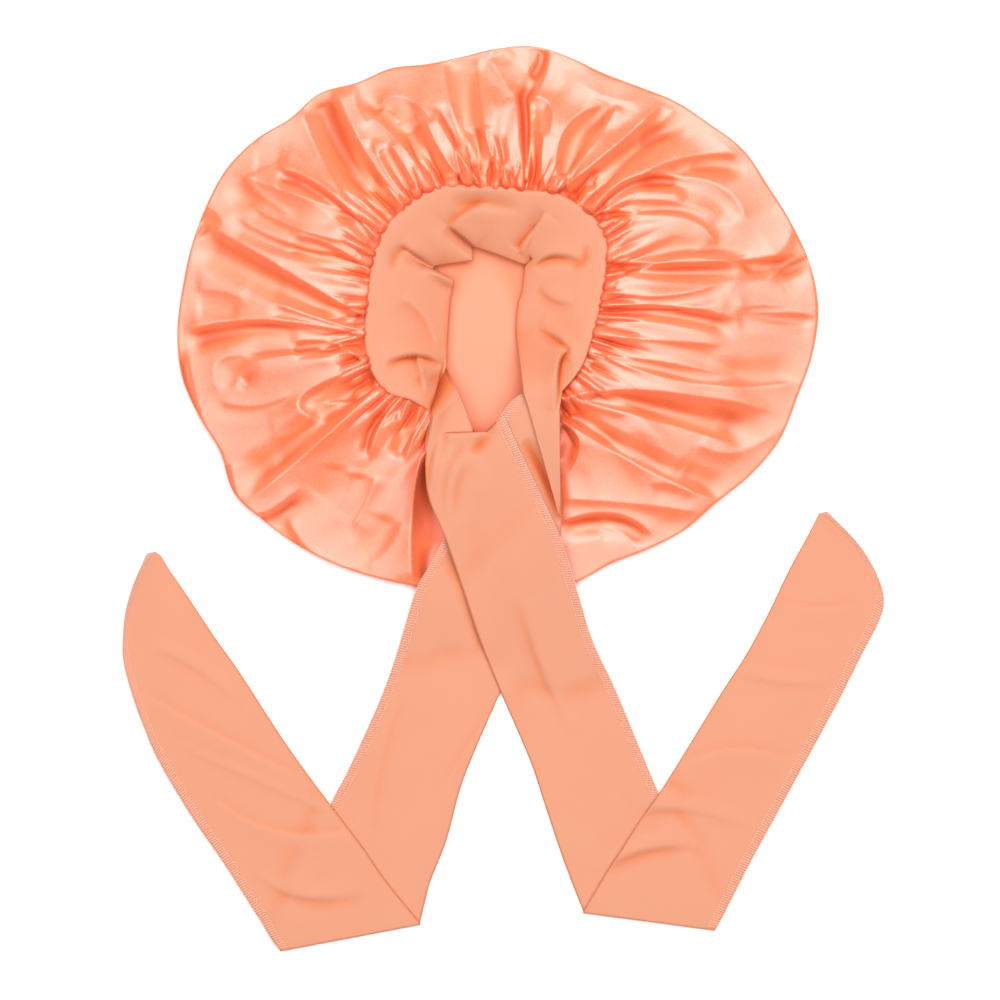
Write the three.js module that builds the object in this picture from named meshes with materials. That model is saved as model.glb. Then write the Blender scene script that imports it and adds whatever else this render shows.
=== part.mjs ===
// Satin bonnet with a gathered crown, a jersey head band and two long ties
//
// Millimetres, +Z up. The bonnet lies on a flat surface with its opening up.
// Its ties lie towards -Y, folded back over themselves. The origin is on the
// surface, under the middle of the whole bonnet.

import * as THREE from 'three';
import { mergeVertices } from 'three/addons/utils/BufferGeometryUtils.js';

// Driving dimensions

const SATIN_WALL = 1.2;
const JERSEY_WALL = 1.5;
const SEWN_GAP = 0.35;
const LAY_GAP = 0.6;
const CROWN_CENTRE = { x: -8.7, y: 112.5 };
const CROWN_SLICES = 96;
const QUARTER_STARTS = { right: -12, back: 12, left: 36, front: 60 };
const QUARTER_SLICES = 24;
const QUARTER_GAP = 0.3;
const UNDERSIDE_GAP = 0.3;
const RIM_HALF_HEIGHT = 8;
const RIM_ROUND = 10;
const RIM_START = 52;
const PUCKER_HEIGHT = 1.1;
const PUCKER_PEAK = 0.05;
const PUCKER_FADE = 0.25;
const PUFF_LEAN = 0.65;
const FULL_PUFF = 10;
const PRESSED_FOLDS = 0.15;
const FOLD_START = 0.12;
const FOLD_FADE = 0.3;
const TIE_ROW_STEP = 10;
const TIE_COLUMNS = 6;
const BAND_COLUMNS = 6;
const COVER_HALF = 330;
const COVER_CELL = 3;
const COVER_REACH = 14;
const COVER_SOFT = 6;

const SATIN = new THREE.MeshStandardMaterial({ color: 0xffa587, roughness: 0.3, metalness: 0 });
const JERSEY = new THREE.MeshStandardMaterial({ color: 0xf5aa8a, roughness: 0.85, metalness: 0 });

// Crown sections, one row every ten degrees counted from +X towards +Y:
// the gathered seam's radius, the rim's radius and how far the satin puffs up

const CROWN_ROWS = table(['angle', 'seam', 'rim', 'puff', 'lift'], [
  [0, 66.3, 198.0, 12, 21],
  [10, 69.8, 193.5, 12, 21],
  [20, 74.7, 186.3, 12, 21],
  [30, 81.2, 181.3, 12, 21],
  [40, 82.8, 173.4, 12, 21],
  [50, 81.3, 166.3, 12, 21],
  [60, 79.2, 159.6, 11, 21],
  [70, 74.3, 158.7, 11, 21],
  [80, 72.6, 160.2, 11, 21],
  [90, 72.4, 155.5, 11, 21],
  [100, 74.1, 152.1, 11, 21],
  [110, 77.1, 154.9, 11, 21],
  [120, 78.2, 157.2, 12, 21],
  [130, 77.4, 164.5, 12, 21],
  [140, 77.6, 168.9, 12, 21],
  [150, 75.8, 176.8, 12, 21],
  [160, 73.6, 180.0, 12, 21],
  [170, 71.8, 182.2, 12, 21],
  [180, 72.0, 185.1, 12, 21],
  [190, 74.2, 187.5, 12, 21],
  [200, 76.8, 184.8, 12, 21],
  [210, 78.6, 183.3, 12, 21],
  [220, 77.6, 186.0, 10, 20],
  [230, 71.1, 181.9, 7, 18],
  [240, 70.1, 177.6, 4, 15],
  [250, 71.3, 173.4, 1, 13],
  [260, 72.4, 172.2, 0, 12],
  [270, 73.2, 173.2, 0, 12],
  [280, 73.2, 172.8, 0, 12],
  [290, 72.1, 171.0, 1, 13],
  [300, 69.4, 171.0, 3, 15],
  [310, 66.3, 175.9, 7, 18],
  [320, 65.7, 179.4, 10, 20],
  [330, 65.3, 187.3, 11, 21],
  [340, 64.2, 192.0, 12, 21],
  [350, 64.5, 195.3, 12, 21],
]);

// Main folds of the satin: where each one crosses the seam, the middle of the
// puff and the rim, its height, its width there and the share it reaches

const FOLD_ROWS = table(['seam', 'middle', 'rim', 'rise', 'width', 'reach'], [
  [7.9, 9.9, 9.5, 5.0, 11, 0.60],
  [357.4, 0.0, 357.9, 7.5, 11, 0.95],
  [341.1, 340.5, 344.5, -7.5, 11, 0.80],
  [325.0, 337.6, 341.3, 9.0, 12, 0.95],
  [316.0, 333.4, 335.5, -9.0, 12, 0.85],
  [308.0, 323.5, 329.2, -7.5, 14, 0.90],
  [302.3, 316.1, 320.6, 6.0, 11, 0.95],
  [19.0, 11.2, 8.1, -6.0, 9, 0.85],
  [23.5, 16.0, 10.5, 6.0, 10, 0.95],
  [35.5, 29.9, 19.0, 6.0, 13, 0.80],
  [42.0, 37.7, 31.9, -6.0, 9, 0.75],
  [43.9, 39.5, 31.6, 7.5, 12, 0.95],
  [50.7, 50.4, 48.0, -9.0, 11, 0.80],
  [55.5, 51.9, 47.9, 7.5, 10, 0.95],
  [65.5, 66.7, 62.3, -6.0, 12, 0.75],
  [73.3, 78.8, 82.6, -7.5, 9, 0.80],
  [86.6, 91.0, 90.2, 6.0, 10, 0.90],
  [94.6, 98.4, 96.1, -7.5, 14, 0.90],
  [108.2, 111.4, 116.6, 6.0, 10, 0.80],
  [120.1, 126.4, 124.8, 6.0, 10, 0.90],
  [129.9, 133.5, 133.1, -10.0, 14, 0.85],
  [144.4, 143.3, 151.0, 6.0, 11, 0.90],
  [157.6, 156.4, 153.3, 6.0, 11, 0.90],
  [166.0, 159.6, 159.0, -5.0, 12, 0.80],
  [179.1, 170.4, 163.5, 7.5, 11, 0.95],
  [183.8, 173.7, 168.6, -9.0, 12, 0.70],
  [194.5, 183.0, 182.8, 9.0, 13, 0.95],
  [200.7, 193.4, 195.8, -7.5, 11, 0.75],
  [207.1, 203.5, 208.6, 9.0, 13, 0.85],
  [212.0, 208.2, 210.3, -7.5, 12, 0.60],
  [215.8, 218.4, 218.2, 9.0, 11, 0.95],
  [225.7, 230.3, 232.1, -5.0, 14, 0.70],
  [229.7, 239.8, 246.6, 5.0, 14, 0.90],
]);

// Head band sections from the left tie round the back to the right tie: the
// seam angle it is sewn at, its inner edge, and the heights across it

const BAND_ROWS = table(['seam', 'x', 'y', 'middle', 'inner'], [
  [238, -33.5, 78.0, 20.0, 17.0],
  [222, -33.5, 87.0, 15.0, 13.0],
  [205, -32.0, 100.5, 18.0, 11.0],
  [188, -31.5, 113.5, 18.0, 10.5],
  [170, -30.5, 124.0, 18.0, 10.5],
  [155, -31.5, 130.5, 17.5, 11.0],
  [145, -37.0, 136.5, 17.0, 13.5],
  [135, -37.0, 143.5, 17.5, 14.0],
  [122, -31.5, 154.0, 18.5, 14.5],
  [112, -27.5, 156.0, 18.5, 14.5],
  [104, -19.5, 148.5, 16.5, 11.5],
  [92, -8.5, 143.5, 16.0, 11.0],
  [80, 1.5, 141.0, 17.0, 11.0],
  [68, 10.5, 141.0, 18.0, 11.5],
  [58, 13.0, 144.5, 18.5, 13.5],
  [48, 19.0, 141.0, 18.0, 13.5],
  [38, 16.5, 137.5, 18.0, 11.5],
  [25, 13.5, 130.5, 18.0, 11.0],
  [10, 11.0, 121.0, 18.0, 10.5],
  [355, 9.5, 111.5, 18.0, 10.5],
  [340, 8.5, 101.5, 18.5, 11.0],
  [325, 8.5, 92.0, 19.0, 12.0],
]);

// The band's ends where they leave the seam: outer and inner edge and height

const BAND_LEFT_END = table(['outerX', 'outerY', 'innerX', 'innerY', 'height'], [
  [-44.5, 36.5, -18.0, 38.0, 17.5],
  [-43.5, 46.5, -24.0, 60.0, 18.5],
  [-42.0, 57.0, -31.0, 72.0, 19.5],
]);
const BAND_RIGHT_END = table(['outerX', 'outerY', 'innerX', 'innerY', 'height'], [
  [34.5, 76.0, 10.5, 74.5, 19.5],
  [34.0, 57.5, 14.5, 58.5, 19.0],
  [34.0, 33.5, 21.5, 33.0, 17.5],
  [34.0, 15.0, 27.5, 13.5, 17.0],
  [34.5, -4.0, 31.0, -5.0, 17.0],
]);

// Tie sections from the band to the fold, and from the fold to the rounded
// tip: the smooth edge and the stitched edge

const TIE_NAMES = ['smoothX', 'smoothY', 'stitchedX', 'stitchedY'];
const LEFT_TIE_FIRST_RUN = table(TIE_NAMES, [
  [-44.5, 37.5, 0.5, 48.5],
  [-46.5, 21.5, 10.0, 27.5],
  [-44.0, 0.0, 20.5, 5.0],
  [-34.0, -25.0, 34.5, -25.0],
  [-23.5, -55.5, 44.5, -56.5],
  [-13.5, -85.5, 53.5, -85.5],
  [-1.5, -115.5, 67.5, -115.5],
  [16.5, -157.5, 87.5, -163.5],
  [25.5, -184.5, 96.0, -183.5],
  [34.5, -211.5, 106.5, -208.5],
  [41.5, -230.5, 117.5, -234.5],
  [48.5, -248.0, 127.5, -258.5],
]);
const LEFT_TIE_SECOND_RUN = table(TIE_NAMES, [
  [48.5, -248.0, 127.5, -258.5],
  [60.5, -227.5, 132.0, -250.5],
  [71.5, -210.5, 139.5, -236.0],
  [82.5, -193.5, 148.5, -218.5],
  [99.0, -169.5, 160.5, -196.5],
  [130.5, -118.5, 189.5, -143.5],
  [146.0, -94.5, 202.5, -119.5],
  [159.5, -69.5, 215.0, -94.5],
  [170.0, -47.5, 225.5, -74.0],
  [176.5, -35.0, 228.5, -61.5],
  [181.5, -26.0, 225.5, -49.0],
  [185.5, -18.5, 218.0, -34.5],
  [188.0, -13.5, 209.0, -23.0],
  [190.0, -9.5, 194.5, -8.5],
]);
const RIGHT_TIE_FIRST_RUN = table(TIE_NAMES, [
  [33.8, 66.5, 12.5, 62.0],
  [34.0, 52.5, 4.5, 55.5],
  [34.5, 34.5, -6.5, 39.5],
  [34.5, 13.5, -17.0, 17.5],
  [35.5, -8.5, -26.5, -4.0],
  [33.5, -28.5, -35.0, -25.0],
  [25.5, -48.5, -43.5, -41.0],
  [18.5, -67.5, -52.0, -57.0],
  [4.5, -104.5, -62.5, -91.5],
  [-5.0, -125.0, -73.0, -121.0],
  [-23.5, -169.0, -91.5, -162.0],
  [-33.5, -205.0, -103.0, -184.5],
  [-43.0, -229.5, -118.5, -223.5],
  [-46.5, -242.5, -126.5, -247.5],
  [-49.5, -255.0, -133.5, -271.0],
]);
const RIGHT_TIE_SECOND_RUN = table(TIE_NAMES, [
  [-49.5, -255.0, -133.5, -271.0],
  [-61.5, -240.5, -138.5, -264.5],
  [-72.5, -226.5, -144.5, -254.5],
  [-83.0, -211.0, -151.5, -243.5],
  [-103.0, -184.5, -166.5, -220.0],
  [-129.0, -149.0, -187.0, -190.0],
  [-157.0, -106.0, -206.0, -158.0],
  [-171.5, -85.5, -214.5, -138.5],
  [-183.5, -67.5, -221.5, -119.5],
  [-193.5, -52.5, -227.0, -99.0],
  [-198.5, -45.5, -227.5, -85.5],
  [-202.0, -40.0, -226.0, -69.0],
  [-205.0, -35.0, -221.0, -51.5],
  [-208.5, -32.5, -213.0, -33.5],
]);

// Shares along the crown's section from the seam out to the rim, and angles
// round the rim down to the flat underside

const TOP_SHARES = [0, 0.05, 0.12, 0.22, 0.34, 0.48, 0.62, 0.77, 0.9];
const RIM_ANGLES = [RIM_START, 25, 0, -35, -90];

// Small helpers

function table(names, rows) {
  return rows.map((row) => Object.fromEntries(names.map((name, column) => [name, row[column]])));
}

function lerp(from, to, share) {
  return from + (to - from) * share;
}

function smooth(value) {
  const share = Math.min(1, Math.max(0, value));
  return share * share * (3 - 2 * share);
}

function curve(before, from, to, after, share) {
  const slopeFrom = (to - before) / 2;
  const slopeTo = (after - from) / 2;
  const square = share * share;
  const cube = square * share;
  return (2 * cube - 3 * square + 1) * from + (cube - 2 * square + share) * slopeFrom
    + (3 * square - 2 * cube) * to + (cube - square) * slopeTo;
}

function turnBetween(from, to) {
  return ((to - from + 540) % 360) - 180;
}

function crownRow(angle) {
  const count = CROWN_ROWS.length;
  const place = (((angle % 360) + 360) % 360) / (360 / count);
  const index = Math.floor(place);
  const share = place - index;
  const row = (offset) => CROWN_ROWS[(index + offset + count) % count];
  const value = (name) => curve(row(-1)[name], row(0)[name], row(1)[name], row(2)[name], share);
  return { seam: value('seam'), rim: value('rim'), puff: value('puff'), lift: value('lift') };
}

function polar(radius, angle, height, aside = 0) {
  const turn = THREE.MathUtils.degToRad(angle);
  const x = CROWN_CENTRE.x + radius * Math.cos(turn) - aside * Math.sin(turn);
  const y = CROWN_CENTRE.y + radius * Math.sin(turn) + aside * Math.cos(turn);
  return new THREE.Vector3(x, y, height);
}

// Crown

function foldHeight(angle, share, radius) {
  let height = 0;
  for (const fold of FOLD_ROWS) {
    const line = share < 0.5
      ? fold.seam + turnBetween(fold.seam, fold.middle) * share * 2
      : fold.middle + turnBetween(fold.middle, fold.rim) * (share * 2 - 1);
    const across = THREE.MathUtils.degToRad(turnBetween(line, angle)) * radius / fold.width;
    const start = smooth(share / FOLD_START);
    const end = 1 - smooth((share - fold.reach) / FOLD_FADE + 0.5);
    height += fold.rise * Math.exp(-2 * across * across) * start * end;
  }
  return height;
}

function crownProfile(angle, slice) {
  const row = crownRow(angle);
  const arcCentre = row.rim - RIM_ROUND;
  const start = THREE.MathUtils.degToRad(RIM_START);
  const topEnd = arcCentre + RIM_ROUND * Math.cos(start);
  const topEndHeight = RIM_HALF_HEIGHT * (1 + Math.sin(start));
  const pressed = lerp(PRESSED_FOLDS, 1, smooth(row.puff / FULL_PUFF));
  const points = [];
  for (const share of TOP_SHARES) {
    const radius = lerp(row.seam, topEnd, share);
    const base = lerp(row.lift, topEndHeight, share);
    const puff = row.puff * Math.sin(Math.PI * share ** PUFF_LEAN);
    const folds = foldHeight(angle, share, radius) * pressed;
    const nearSeam = smooth(share / PUCKER_PEAK) * (1 - smooth((share - PUCKER_PEAK) / PUCKER_FADE));
    const pucker = PUCKER_HEIGHT * (slice % 2 ? 1 : -1) * nearSeam;
    points.push({ radius, plain: base + puff, extra: folds + pucker });
  }
  for (const degrees of RIM_ANGLES) {
    const arc = THREE.MathUtils.degToRad(degrees);
    const radius = arcCentre + RIM_ROUND * Math.cos(arc);
    points.push({ radius, plain: RIM_HALF_HEIGHT * (1 + Math.sin(arc)), extra: 0 });
  }
  return points;
}

function crownWalls(angle, slice, aside) {
  const points = crownProfile(angle, slice);
  const outer = [];
  const inner = [];
  points.forEach((point, index) => {
    const before = points[Math.max(0, index - 1)];
    const after = points[Math.min(points.length - 1, index + 1)];
    let along = new THREE.Vector2(after.radius - before.radius, after.plain - before.plain);
    if (index === 0) along = new THREE.Vector2(1, 0);
    if (index === points.length - 1) along = new THREE.Vector2(-1, 0);
    along.normalize();
    outer.push(polar(point.radius, angle, point.plain + point.extra, aside));
    const innerRadius = point.radius + along.y * SATIN_WALL;
    const innerHeight = point.plain + point.extra - along.x * SATIN_WALL;
    inner.push(polar(innerRadius, angle, Math.max(SATIN_WALL, innerHeight), aside));
  });
  return { outer, inner };
}

// One quarter of the gathered upper side, from the seam over the rim, with a
// closed face where it meets each neighbour

function quarterGeometry(firstSlice) {
  const slices = [];
  for (let step = 0; step <= QUARTER_SLICES; step += 1) {
    const slice = firstSlice + step;
    const inward = Number(step === 0) - Number(step === QUARTER_SLICES);
    slices.push(crownWalls((slice * 360) / CROWN_SLICES, slice, (inward * QUARTER_GAP) / 2));
  }
  const rows = slices[0].outer.length;
  const triangles = [];
  const quad = (a, b, c, d) => triangles.push(a, b, c, a, c, d);
  for (let step = 0; step < QUARTER_SLICES; step += 1) {
    const here = slices[step];
    const next = slices[step + 1];
    for (let row = 0; row + 1 < rows; row += 1) {
      quad(here.outer[row], here.outer[row + 1], next.outer[row + 1], next.outer[row]);
      quad(here.inner[row], next.inner[row], next.inner[row + 1], here.inner[row + 1]);
    }
    quad(here.inner[0], here.outer[0], next.outer[0], next.inner[0]);
    quad(here.outer[rows - 1], here.inner[rows - 1], next.inner[rows - 1], next.outer[rows - 1]);
  }
  const first = slices[0];
  const last = slices[QUARTER_SLICES];
  for (let row = 0; row + 1 < rows; row += 1) {
    quad(first.outer[row], first.inner[row], first.inner[row + 1], first.outer[row + 1]);
    quad(last.outer[row], last.outer[row + 1], last.inner[row + 1], last.inner[row]);
  }
  return fromTriangles(triangles);
}

// The flat underside, a disc inside the rim's lowest line

function undersideGeometry() {
  const edge = (height) => Array.from({ length: CROWN_SLICES }, (unused, slice) => {
    const angle = (slice * 360) / CROWN_SLICES;
    return polar(crownRow(angle).rim - RIM_ROUND - UNDERSIDE_GAP, angle, height);
  });
  const lower = edge(0);
  const upper = edge(SATIN_WALL);
  const triangles = [];
  lower.forEach((corner, slice) => {
    const next = (slice + 1) % CROWN_SLICES;
    triangles.push(corner, polar(0, 0, 0), lower[next]);
    triangles.push(upper[slice], upper[next], polar(0, 0, SATIN_WALL));
    triangles.push(corner, lower[next], upper[next], corner, upper[next], upper[slice]);
  });
  return fromTriangles(triangles);
}

function fromTriangles(points) {
  const flat = points.flatMap((point) => [point.x, point.y, point.z]);
  const geometry = new THREE.BufferGeometry();
  geometry.setAttribute('position', new THREE.Float32BufferAttribute(flat, 3));
  return mergeVertices(geometry, 1e-4);
}

// What a strip of cloth lies on: the highest cloth near each place

class Cover {
  constructor() {
    this.count = Math.ceil((2 * COVER_HALF) / COVER_CELL);
    this.raw = new Float32Array(this.count * this.count);
  }

  add(...geometries) {
    for (const geometry of geometries) {
      const position = geometry.getAttribute('position');
      const order = geometry.getIndex().array;
      const corner = (index) => new THREE.Vector3().fromBufferAttribute(position, order[index]);
      for (let start = 0; start < order.length; start += 3) {
        this.addTriangle(corner(start), corner(start + 1), corner(start + 2));
      }
    }
    this.spread();
  }

  addTriangle(a, b, c) {
    const longest = Math.max(a.distanceTo(b), b.distanceTo(c), c.distanceTo(a));
    const steps = Math.ceil((2 * longest) / COVER_CELL);
    for (let toB = 0; toB <= steps; toB += 1) {
      for (let toC = 0; toC <= steps - toB; toC += 1) {
        const point = a.clone().lerp(b, toB / steps);
        this.mark(point.addScaledVector(c, toC / steps).addScaledVector(a, -toC / steps));
      }
    }
  }

  mark(point) {
    const column = Math.floor((point.x + COVER_HALF) / COVER_CELL);
    const row = Math.floor((point.y + COVER_HALF) / COVER_CELL);
    for (const cell of [row * this.count + column, (row + 1) * this.count + column]) {
      this.raw[cell] = Math.max(this.raw[cell], point.z);
      this.raw[cell + 1] = Math.max(this.raw[cell + 1], point.z);
    }
  }

  around(source, reach, gather) {
    const cells = Math.ceil(reach / COVER_CELL);
    const result = new Float32Array(source.length);
    for (let row = cells; row < this.count - cells; row += 1) {
      for (let column = cells; column < this.count - cells; column += 1) {
        const values = [];
        for (let up = -cells; up <= cells; up += 1) {
          for (let right = -cells; right <= cells; right += 1) {
            if (Math.hypot(up, right) * COVER_CELL > reach) continue;
            values.push(source[(row + up) * this.count + column + right]);
          }
        }
        result[row * this.count + column] = gather(values);
      }
    }
    return result;
  }

  spread() {
    const highest = this.around(this.raw, COVER_REACH, (values) => Math.max(...values));
    const mean = (values) => values.reduce((sum, value) => sum + value, 0) / values.length;
    this.field = this.around(highest, COVER_SOFT, mean);
  }

  height(x, y) {
    const column = (x + COVER_HALF) / COVER_CELL;
    const row = (y + COVER_HALF) / COVER_CELL;
    const left = Math.floor(column);
    const low = Math.floor(row);
    const at = (up, right) => this.field[(low + up) * this.count + left + right];
    const below = lerp(at(0, 0), at(0, 1), column - left);
    const above = lerp(at(1, 0), at(1, 1), column - left);
    return lerp(below, above, row - low);
  }
}

// Strips of jersey: rows of middle points with the direction of one side

function stripGeometry(rows) {
  const half = JERSEY_WALL / 2;
  const side = (sign) => rows.map((row) => row.map(
    (point) => point.middle.clone().addScaledVector(point.side, sign * half),
  ));
  const upper = side(1);
  const lower = side(-1);
  const triangles = [];
  const quad = (a, b, c, d) => triangles.push(a, b, c, a, c, d);
  const lastRow = rows.length - 1;
  const lastColumn = rows[0].length - 1;
  for (let row = 0; row < lastRow; row += 1) {
    const next = row + 1;
    for (let column = 0; column < lastColumn; column += 1) {
      const right = column + 1;
      quad(upper[row][column], upper[next][column], upper[next][right], upper[row][right]);
      quad(lower[row][column], lower[row][right], lower[next][right], lower[next][column]);
    }
    quad(upper[row][0], lower[row][0], lower[next][0], upper[next][0]);
    quad(upper[row][lastColumn], upper[next][lastColumn], lower[next][lastColumn], lower[row][lastColumn]);
  }
  for (let column = 0; column < lastColumn; column += 1) {
    const right = column + 1;
    quad(upper[0][column], upper[0][right], lower[0][right], lower[0][column]);
    quad(upper[lastRow][column], lower[lastRow][column], lower[lastRow][right], upper[lastRow][right]);
  }
  return fromTriangles(triangles);
}

function tieOutline(sections) {
  const outline = [];
  const last = sections.length - 1;
  for (let index = 0; index < last; index += 1) {
    const at = (offset) => sections[Math.min(last, Math.max(0, index + offset))];
    const here = at(0);
    const next = at(1);
    const smoothLength = Math.hypot(next.smoothX - here.smoothX, next.smoothY - here.smoothY);
    const stitchedLength = Math.hypot(next.stitchedX - here.stitchedX, next.stitchedY - here.stitchedY);
    const steps = Math.max(1, Math.round((smoothLength + stitchedLength) / 2 / TIE_ROW_STEP));
    for (let step = 0; step < steps; step += 1) {
      const share = step / steps;
      const value = (name) => curve(at(-1)[name], here[name], next[name], at(2)[name], share);
      outline.push(TIE_NAMES.map(value));
    }
  }
  outline.push(TIE_NAMES.map((name) => sections[last][name]));
  return outline;
}

function laidRows(sections, cover, fromSmooth) {
  return tieOutline(sections).map(([smoothX, smoothY, stitchedX, stitchedY]) => {
    const row = [];
    for (let column = 0; column < TIE_COLUMNS; column += 1) {
      const share = column / (TIE_COLUMNS - 1);
      const x = lerp(smoothX, stitchedX, fromSmooth ? share : 1 - share);
      const y = lerp(smoothY, stitchedY, fromSmooth ? share : 1 - share);
      const under = cover.height(x, y);
      const base = under + LAY_GAP * Math.min(1, under);
      row.push(new THREE.Vector3(x, y, base + JERSEY_WALL / 2));
    }
    return row;
  });
}

function tieGeometry(firstSections, secondSections, cover, fromSmooth) {
  const up = new THREE.Vector3(0, 0, 1);
  const down = new THREE.Vector3(0, 0, -1);
  const first = laidRows(firstSections, cover, fromSmooth);
  const facing = (rows, side) => rows.map((row) => row.map((middle) => ({ middle, side })));
  const firstRun = facing(first, up);
  cover.add(stripGeometry(firstRun));
  const second = laidRows(secondSections, cover, fromSmooth);
  const crease = first[first.length - 1];
  const along = new THREE.Vector3().subVectors(crease[crease.length - 1], crease[0]).setZ(0).normalize();
  const outward = new THREE.Vector3(along.y, -along.x, 0).multiplyScalar(Math.sign(along.x));
  const fold = crease.map((middle, column) => {
    const height = (middle.z + second[0][column].z) / 2;
    const reach = (second[0][column].z - middle.z) / 2;
    const place = middle.clone().setZ(height).addScaledVector(outward, reach);
    return { middle: place, side: outward.clone().negate() };
  });
  const geometry = stripGeometry([...firstRun, fold, ...facing(second, down)]);
  cover.add(geometry);
  return geometry;
}

// Head band: sewn inside the crown's seam, its ends laid over the ties

function bandRow(outer, inner, middleHeight, cover) {
  const row = [];
  const bulge = middleHeight - (outer.z + inner.z) / 2;
  for (let column = 0; column < BAND_COLUMNS; column += 1) {
    const share = column / (BAND_COLUMNS - 1);
    const point = new THREE.Vector3().lerpVectors(outer, inner, share);
    point.z += bulge * Math.sin(Math.PI * share);
    if (cover) point.z = Math.max(point.z, cover.height(point.x, point.y) + LAY_GAP + JERSEY_WALL / 2);
    row.push({ middle: point, side: new THREE.Vector3(0, 0, 1) });
  }
  return row;
}

function bandSewnRows() {
  const rows = [];
  const first = BAND_ROWS[0].seam;
  const sweep = (BAND_ROWS[0].seam - BAND_ROWS[BAND_ROWS.length - 1].seam + 360) % 360;
  const step = 360 / CROWN_SLICES;
  const turned = (row) => (first - row.seam + 360) % 360;
  for (let slice = Math.floor(first / step); first - slice * step <= sweep; slice -= 1) {
    const angle = slice * step;
    const place = first - angle;
    let index = BAND_ROWS.findIndex((row) => turned(row) > place) - 1;
    if (index < 0) index = BAND_ROWS.length - 2;
    const at = (offset) => BAND_ROWS[Math.min(BAND_ROWS.length - 1, Math.max(0, index + offset))];
    const share = (place - turned(at(0))) / (turned(at(1)) - turned(at(0)));
    const value = (name) => curve(at(-1)[name], at(0)[name], at(1)[name], at(2)[name], share);
    const { seam, lift } = crownRow(angle);
    const outer = polar(seam - SEWN_GAP, angle, lift - JERSEY_WALL / 2);
    const inner = new THREE.Vector3(value('x'), value('y'), value('inner'));
    rows.push(bandRow(outer, inner, value('middle'), null));
  }
  return rows;
}

function bandEndRows(sections, cover) {
  return sections.map((section) => {
    const outer = new THREE.Vector3(section.outerX, section.outerY, section.height);
    const inner = new THREE.Vector3(section.innerX, section.innerY, section.height);
    return bandRow(outer, inner, section.height, cover);
  });
}

function bandGeometry(cover) {
  const left = bandEndRows(BAND_LEFT_END, cover);
  const right = bandEndRows(BAND_RIGHT_END, cover);
  const rows = [...left, ...bandSewnRows(), ...right];
  return stripGeometry(rows.map((row) => row.slice().reverse()));
}

// Assembly

function piece(name, geometry, material) {
  const mesh = new THREE.Mesh(geometry, material);
  mesh.name = name;
  geometry.computeVertexNormals();
  return mesh;
}

const cover = new Cover();
const underside = undersideGeometry();
const quarters = Object.entries(QUARTER_STARTS).map(
  ([side, firstSlice]) => [side, quarterGeometry(firstSlice)],
);
cover.add(underside, ...quarters.map(([, quarter]) => quarter));
const rightTie = tieGeometry(RIGHT_TIE_FIRST_RUN, RIGHT_TIE_SECOND_RUN, cover, false);
const band = bandGeometry(cover);
cover.add(band);
const leftTie = tieGeometry(LEFT_TIE_FIRST_RUN, LEFT_TIE_SECOND_RUN, cover, true);

const crown = new THREE.Group();
crown.add(piece('crown_underside', underside, SATIN));
for (const [side, quarter] of quarters) crown.add(piece(`crown_${side}`, quarter, SATIN));

const ties = new THREE.Group();
ties.add(piece('left_tie', leftTie, JERSEY), piece('right_tie', rightTie, JERSEY));

const bonnet = new THREE.Group();
bonnet.add(crown, piece('head_band', band, JERSEY), ties);

export default bonnet;
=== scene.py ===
"""A satin bonnet lying flat with its opening up: gathered crown, jersey band and two folded ties."""

import math

import bpy
import numpy as np
from bpy.props import EnumProperty, FloatProperty, FloatVectorProperty, IntProperty
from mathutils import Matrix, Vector


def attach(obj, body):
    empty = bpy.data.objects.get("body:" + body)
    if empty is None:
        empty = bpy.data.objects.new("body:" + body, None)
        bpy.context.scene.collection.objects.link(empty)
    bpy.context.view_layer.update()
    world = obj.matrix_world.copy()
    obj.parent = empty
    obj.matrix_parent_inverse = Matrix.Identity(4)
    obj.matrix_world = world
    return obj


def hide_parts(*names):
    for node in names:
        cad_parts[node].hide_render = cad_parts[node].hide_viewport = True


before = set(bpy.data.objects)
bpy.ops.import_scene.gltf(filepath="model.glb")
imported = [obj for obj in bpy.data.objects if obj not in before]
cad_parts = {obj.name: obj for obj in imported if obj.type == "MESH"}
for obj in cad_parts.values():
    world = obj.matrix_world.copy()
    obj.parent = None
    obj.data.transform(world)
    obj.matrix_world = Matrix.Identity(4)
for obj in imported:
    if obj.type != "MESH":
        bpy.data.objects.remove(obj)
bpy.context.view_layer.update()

bl_info = {
    "name": "Satin bonnet",
    "version": (1, 0, 0),
    "blender": (4, 5, 0),
    "location": "3D View > Sidebar > Bonnet",
    "description": "Models a satin bonnet with a gathered crown, a jersey band and two ties",
    "category": "Add Mesh",
}

# Places are in millimetres in the frame's axes, and meshes are in metres

MM = 0.001
CROWN_X = -8.7
CROWN_Y = 112.5

# The photo's pixel over the frame's origin, and the real size of one pixel

PHOTO_MIDDLE_X = 502.5
PHOTO_MIDDLE_Y = 497.5
PHOTO_SCALE = 0.6

# The crown's grid: how much its rows crowd towards the seam, how far the first row lies
# inside the seam and under it, and the angle where the rim's arc starts, with its rows

ROW_CROWDING = 1.12
SEAM_TUCK = 0.8
SEAM_DROP = 2.0
RIM_START = 72.0
RIM_ROWS = 6
LEAST_HEIGHT = 1.6

# The puff over the straight line from seam to rim, whose curve has its peak at 4/27

PUFF_SHARE = 0.6
PUFF_CURVE = 27.0 / 4.0

# Where the ties press the satin's relief flat, over what turn, and what is left of it

PRESSED_ANGLE = 276.0
PRESSED_TURN = 6.0
PRESSED_FADE = 10.0
PRESSED_RELIEF = 0.15

# The wrong side: how much coarser it is, and the floor's rings as shares of the way out

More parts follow.
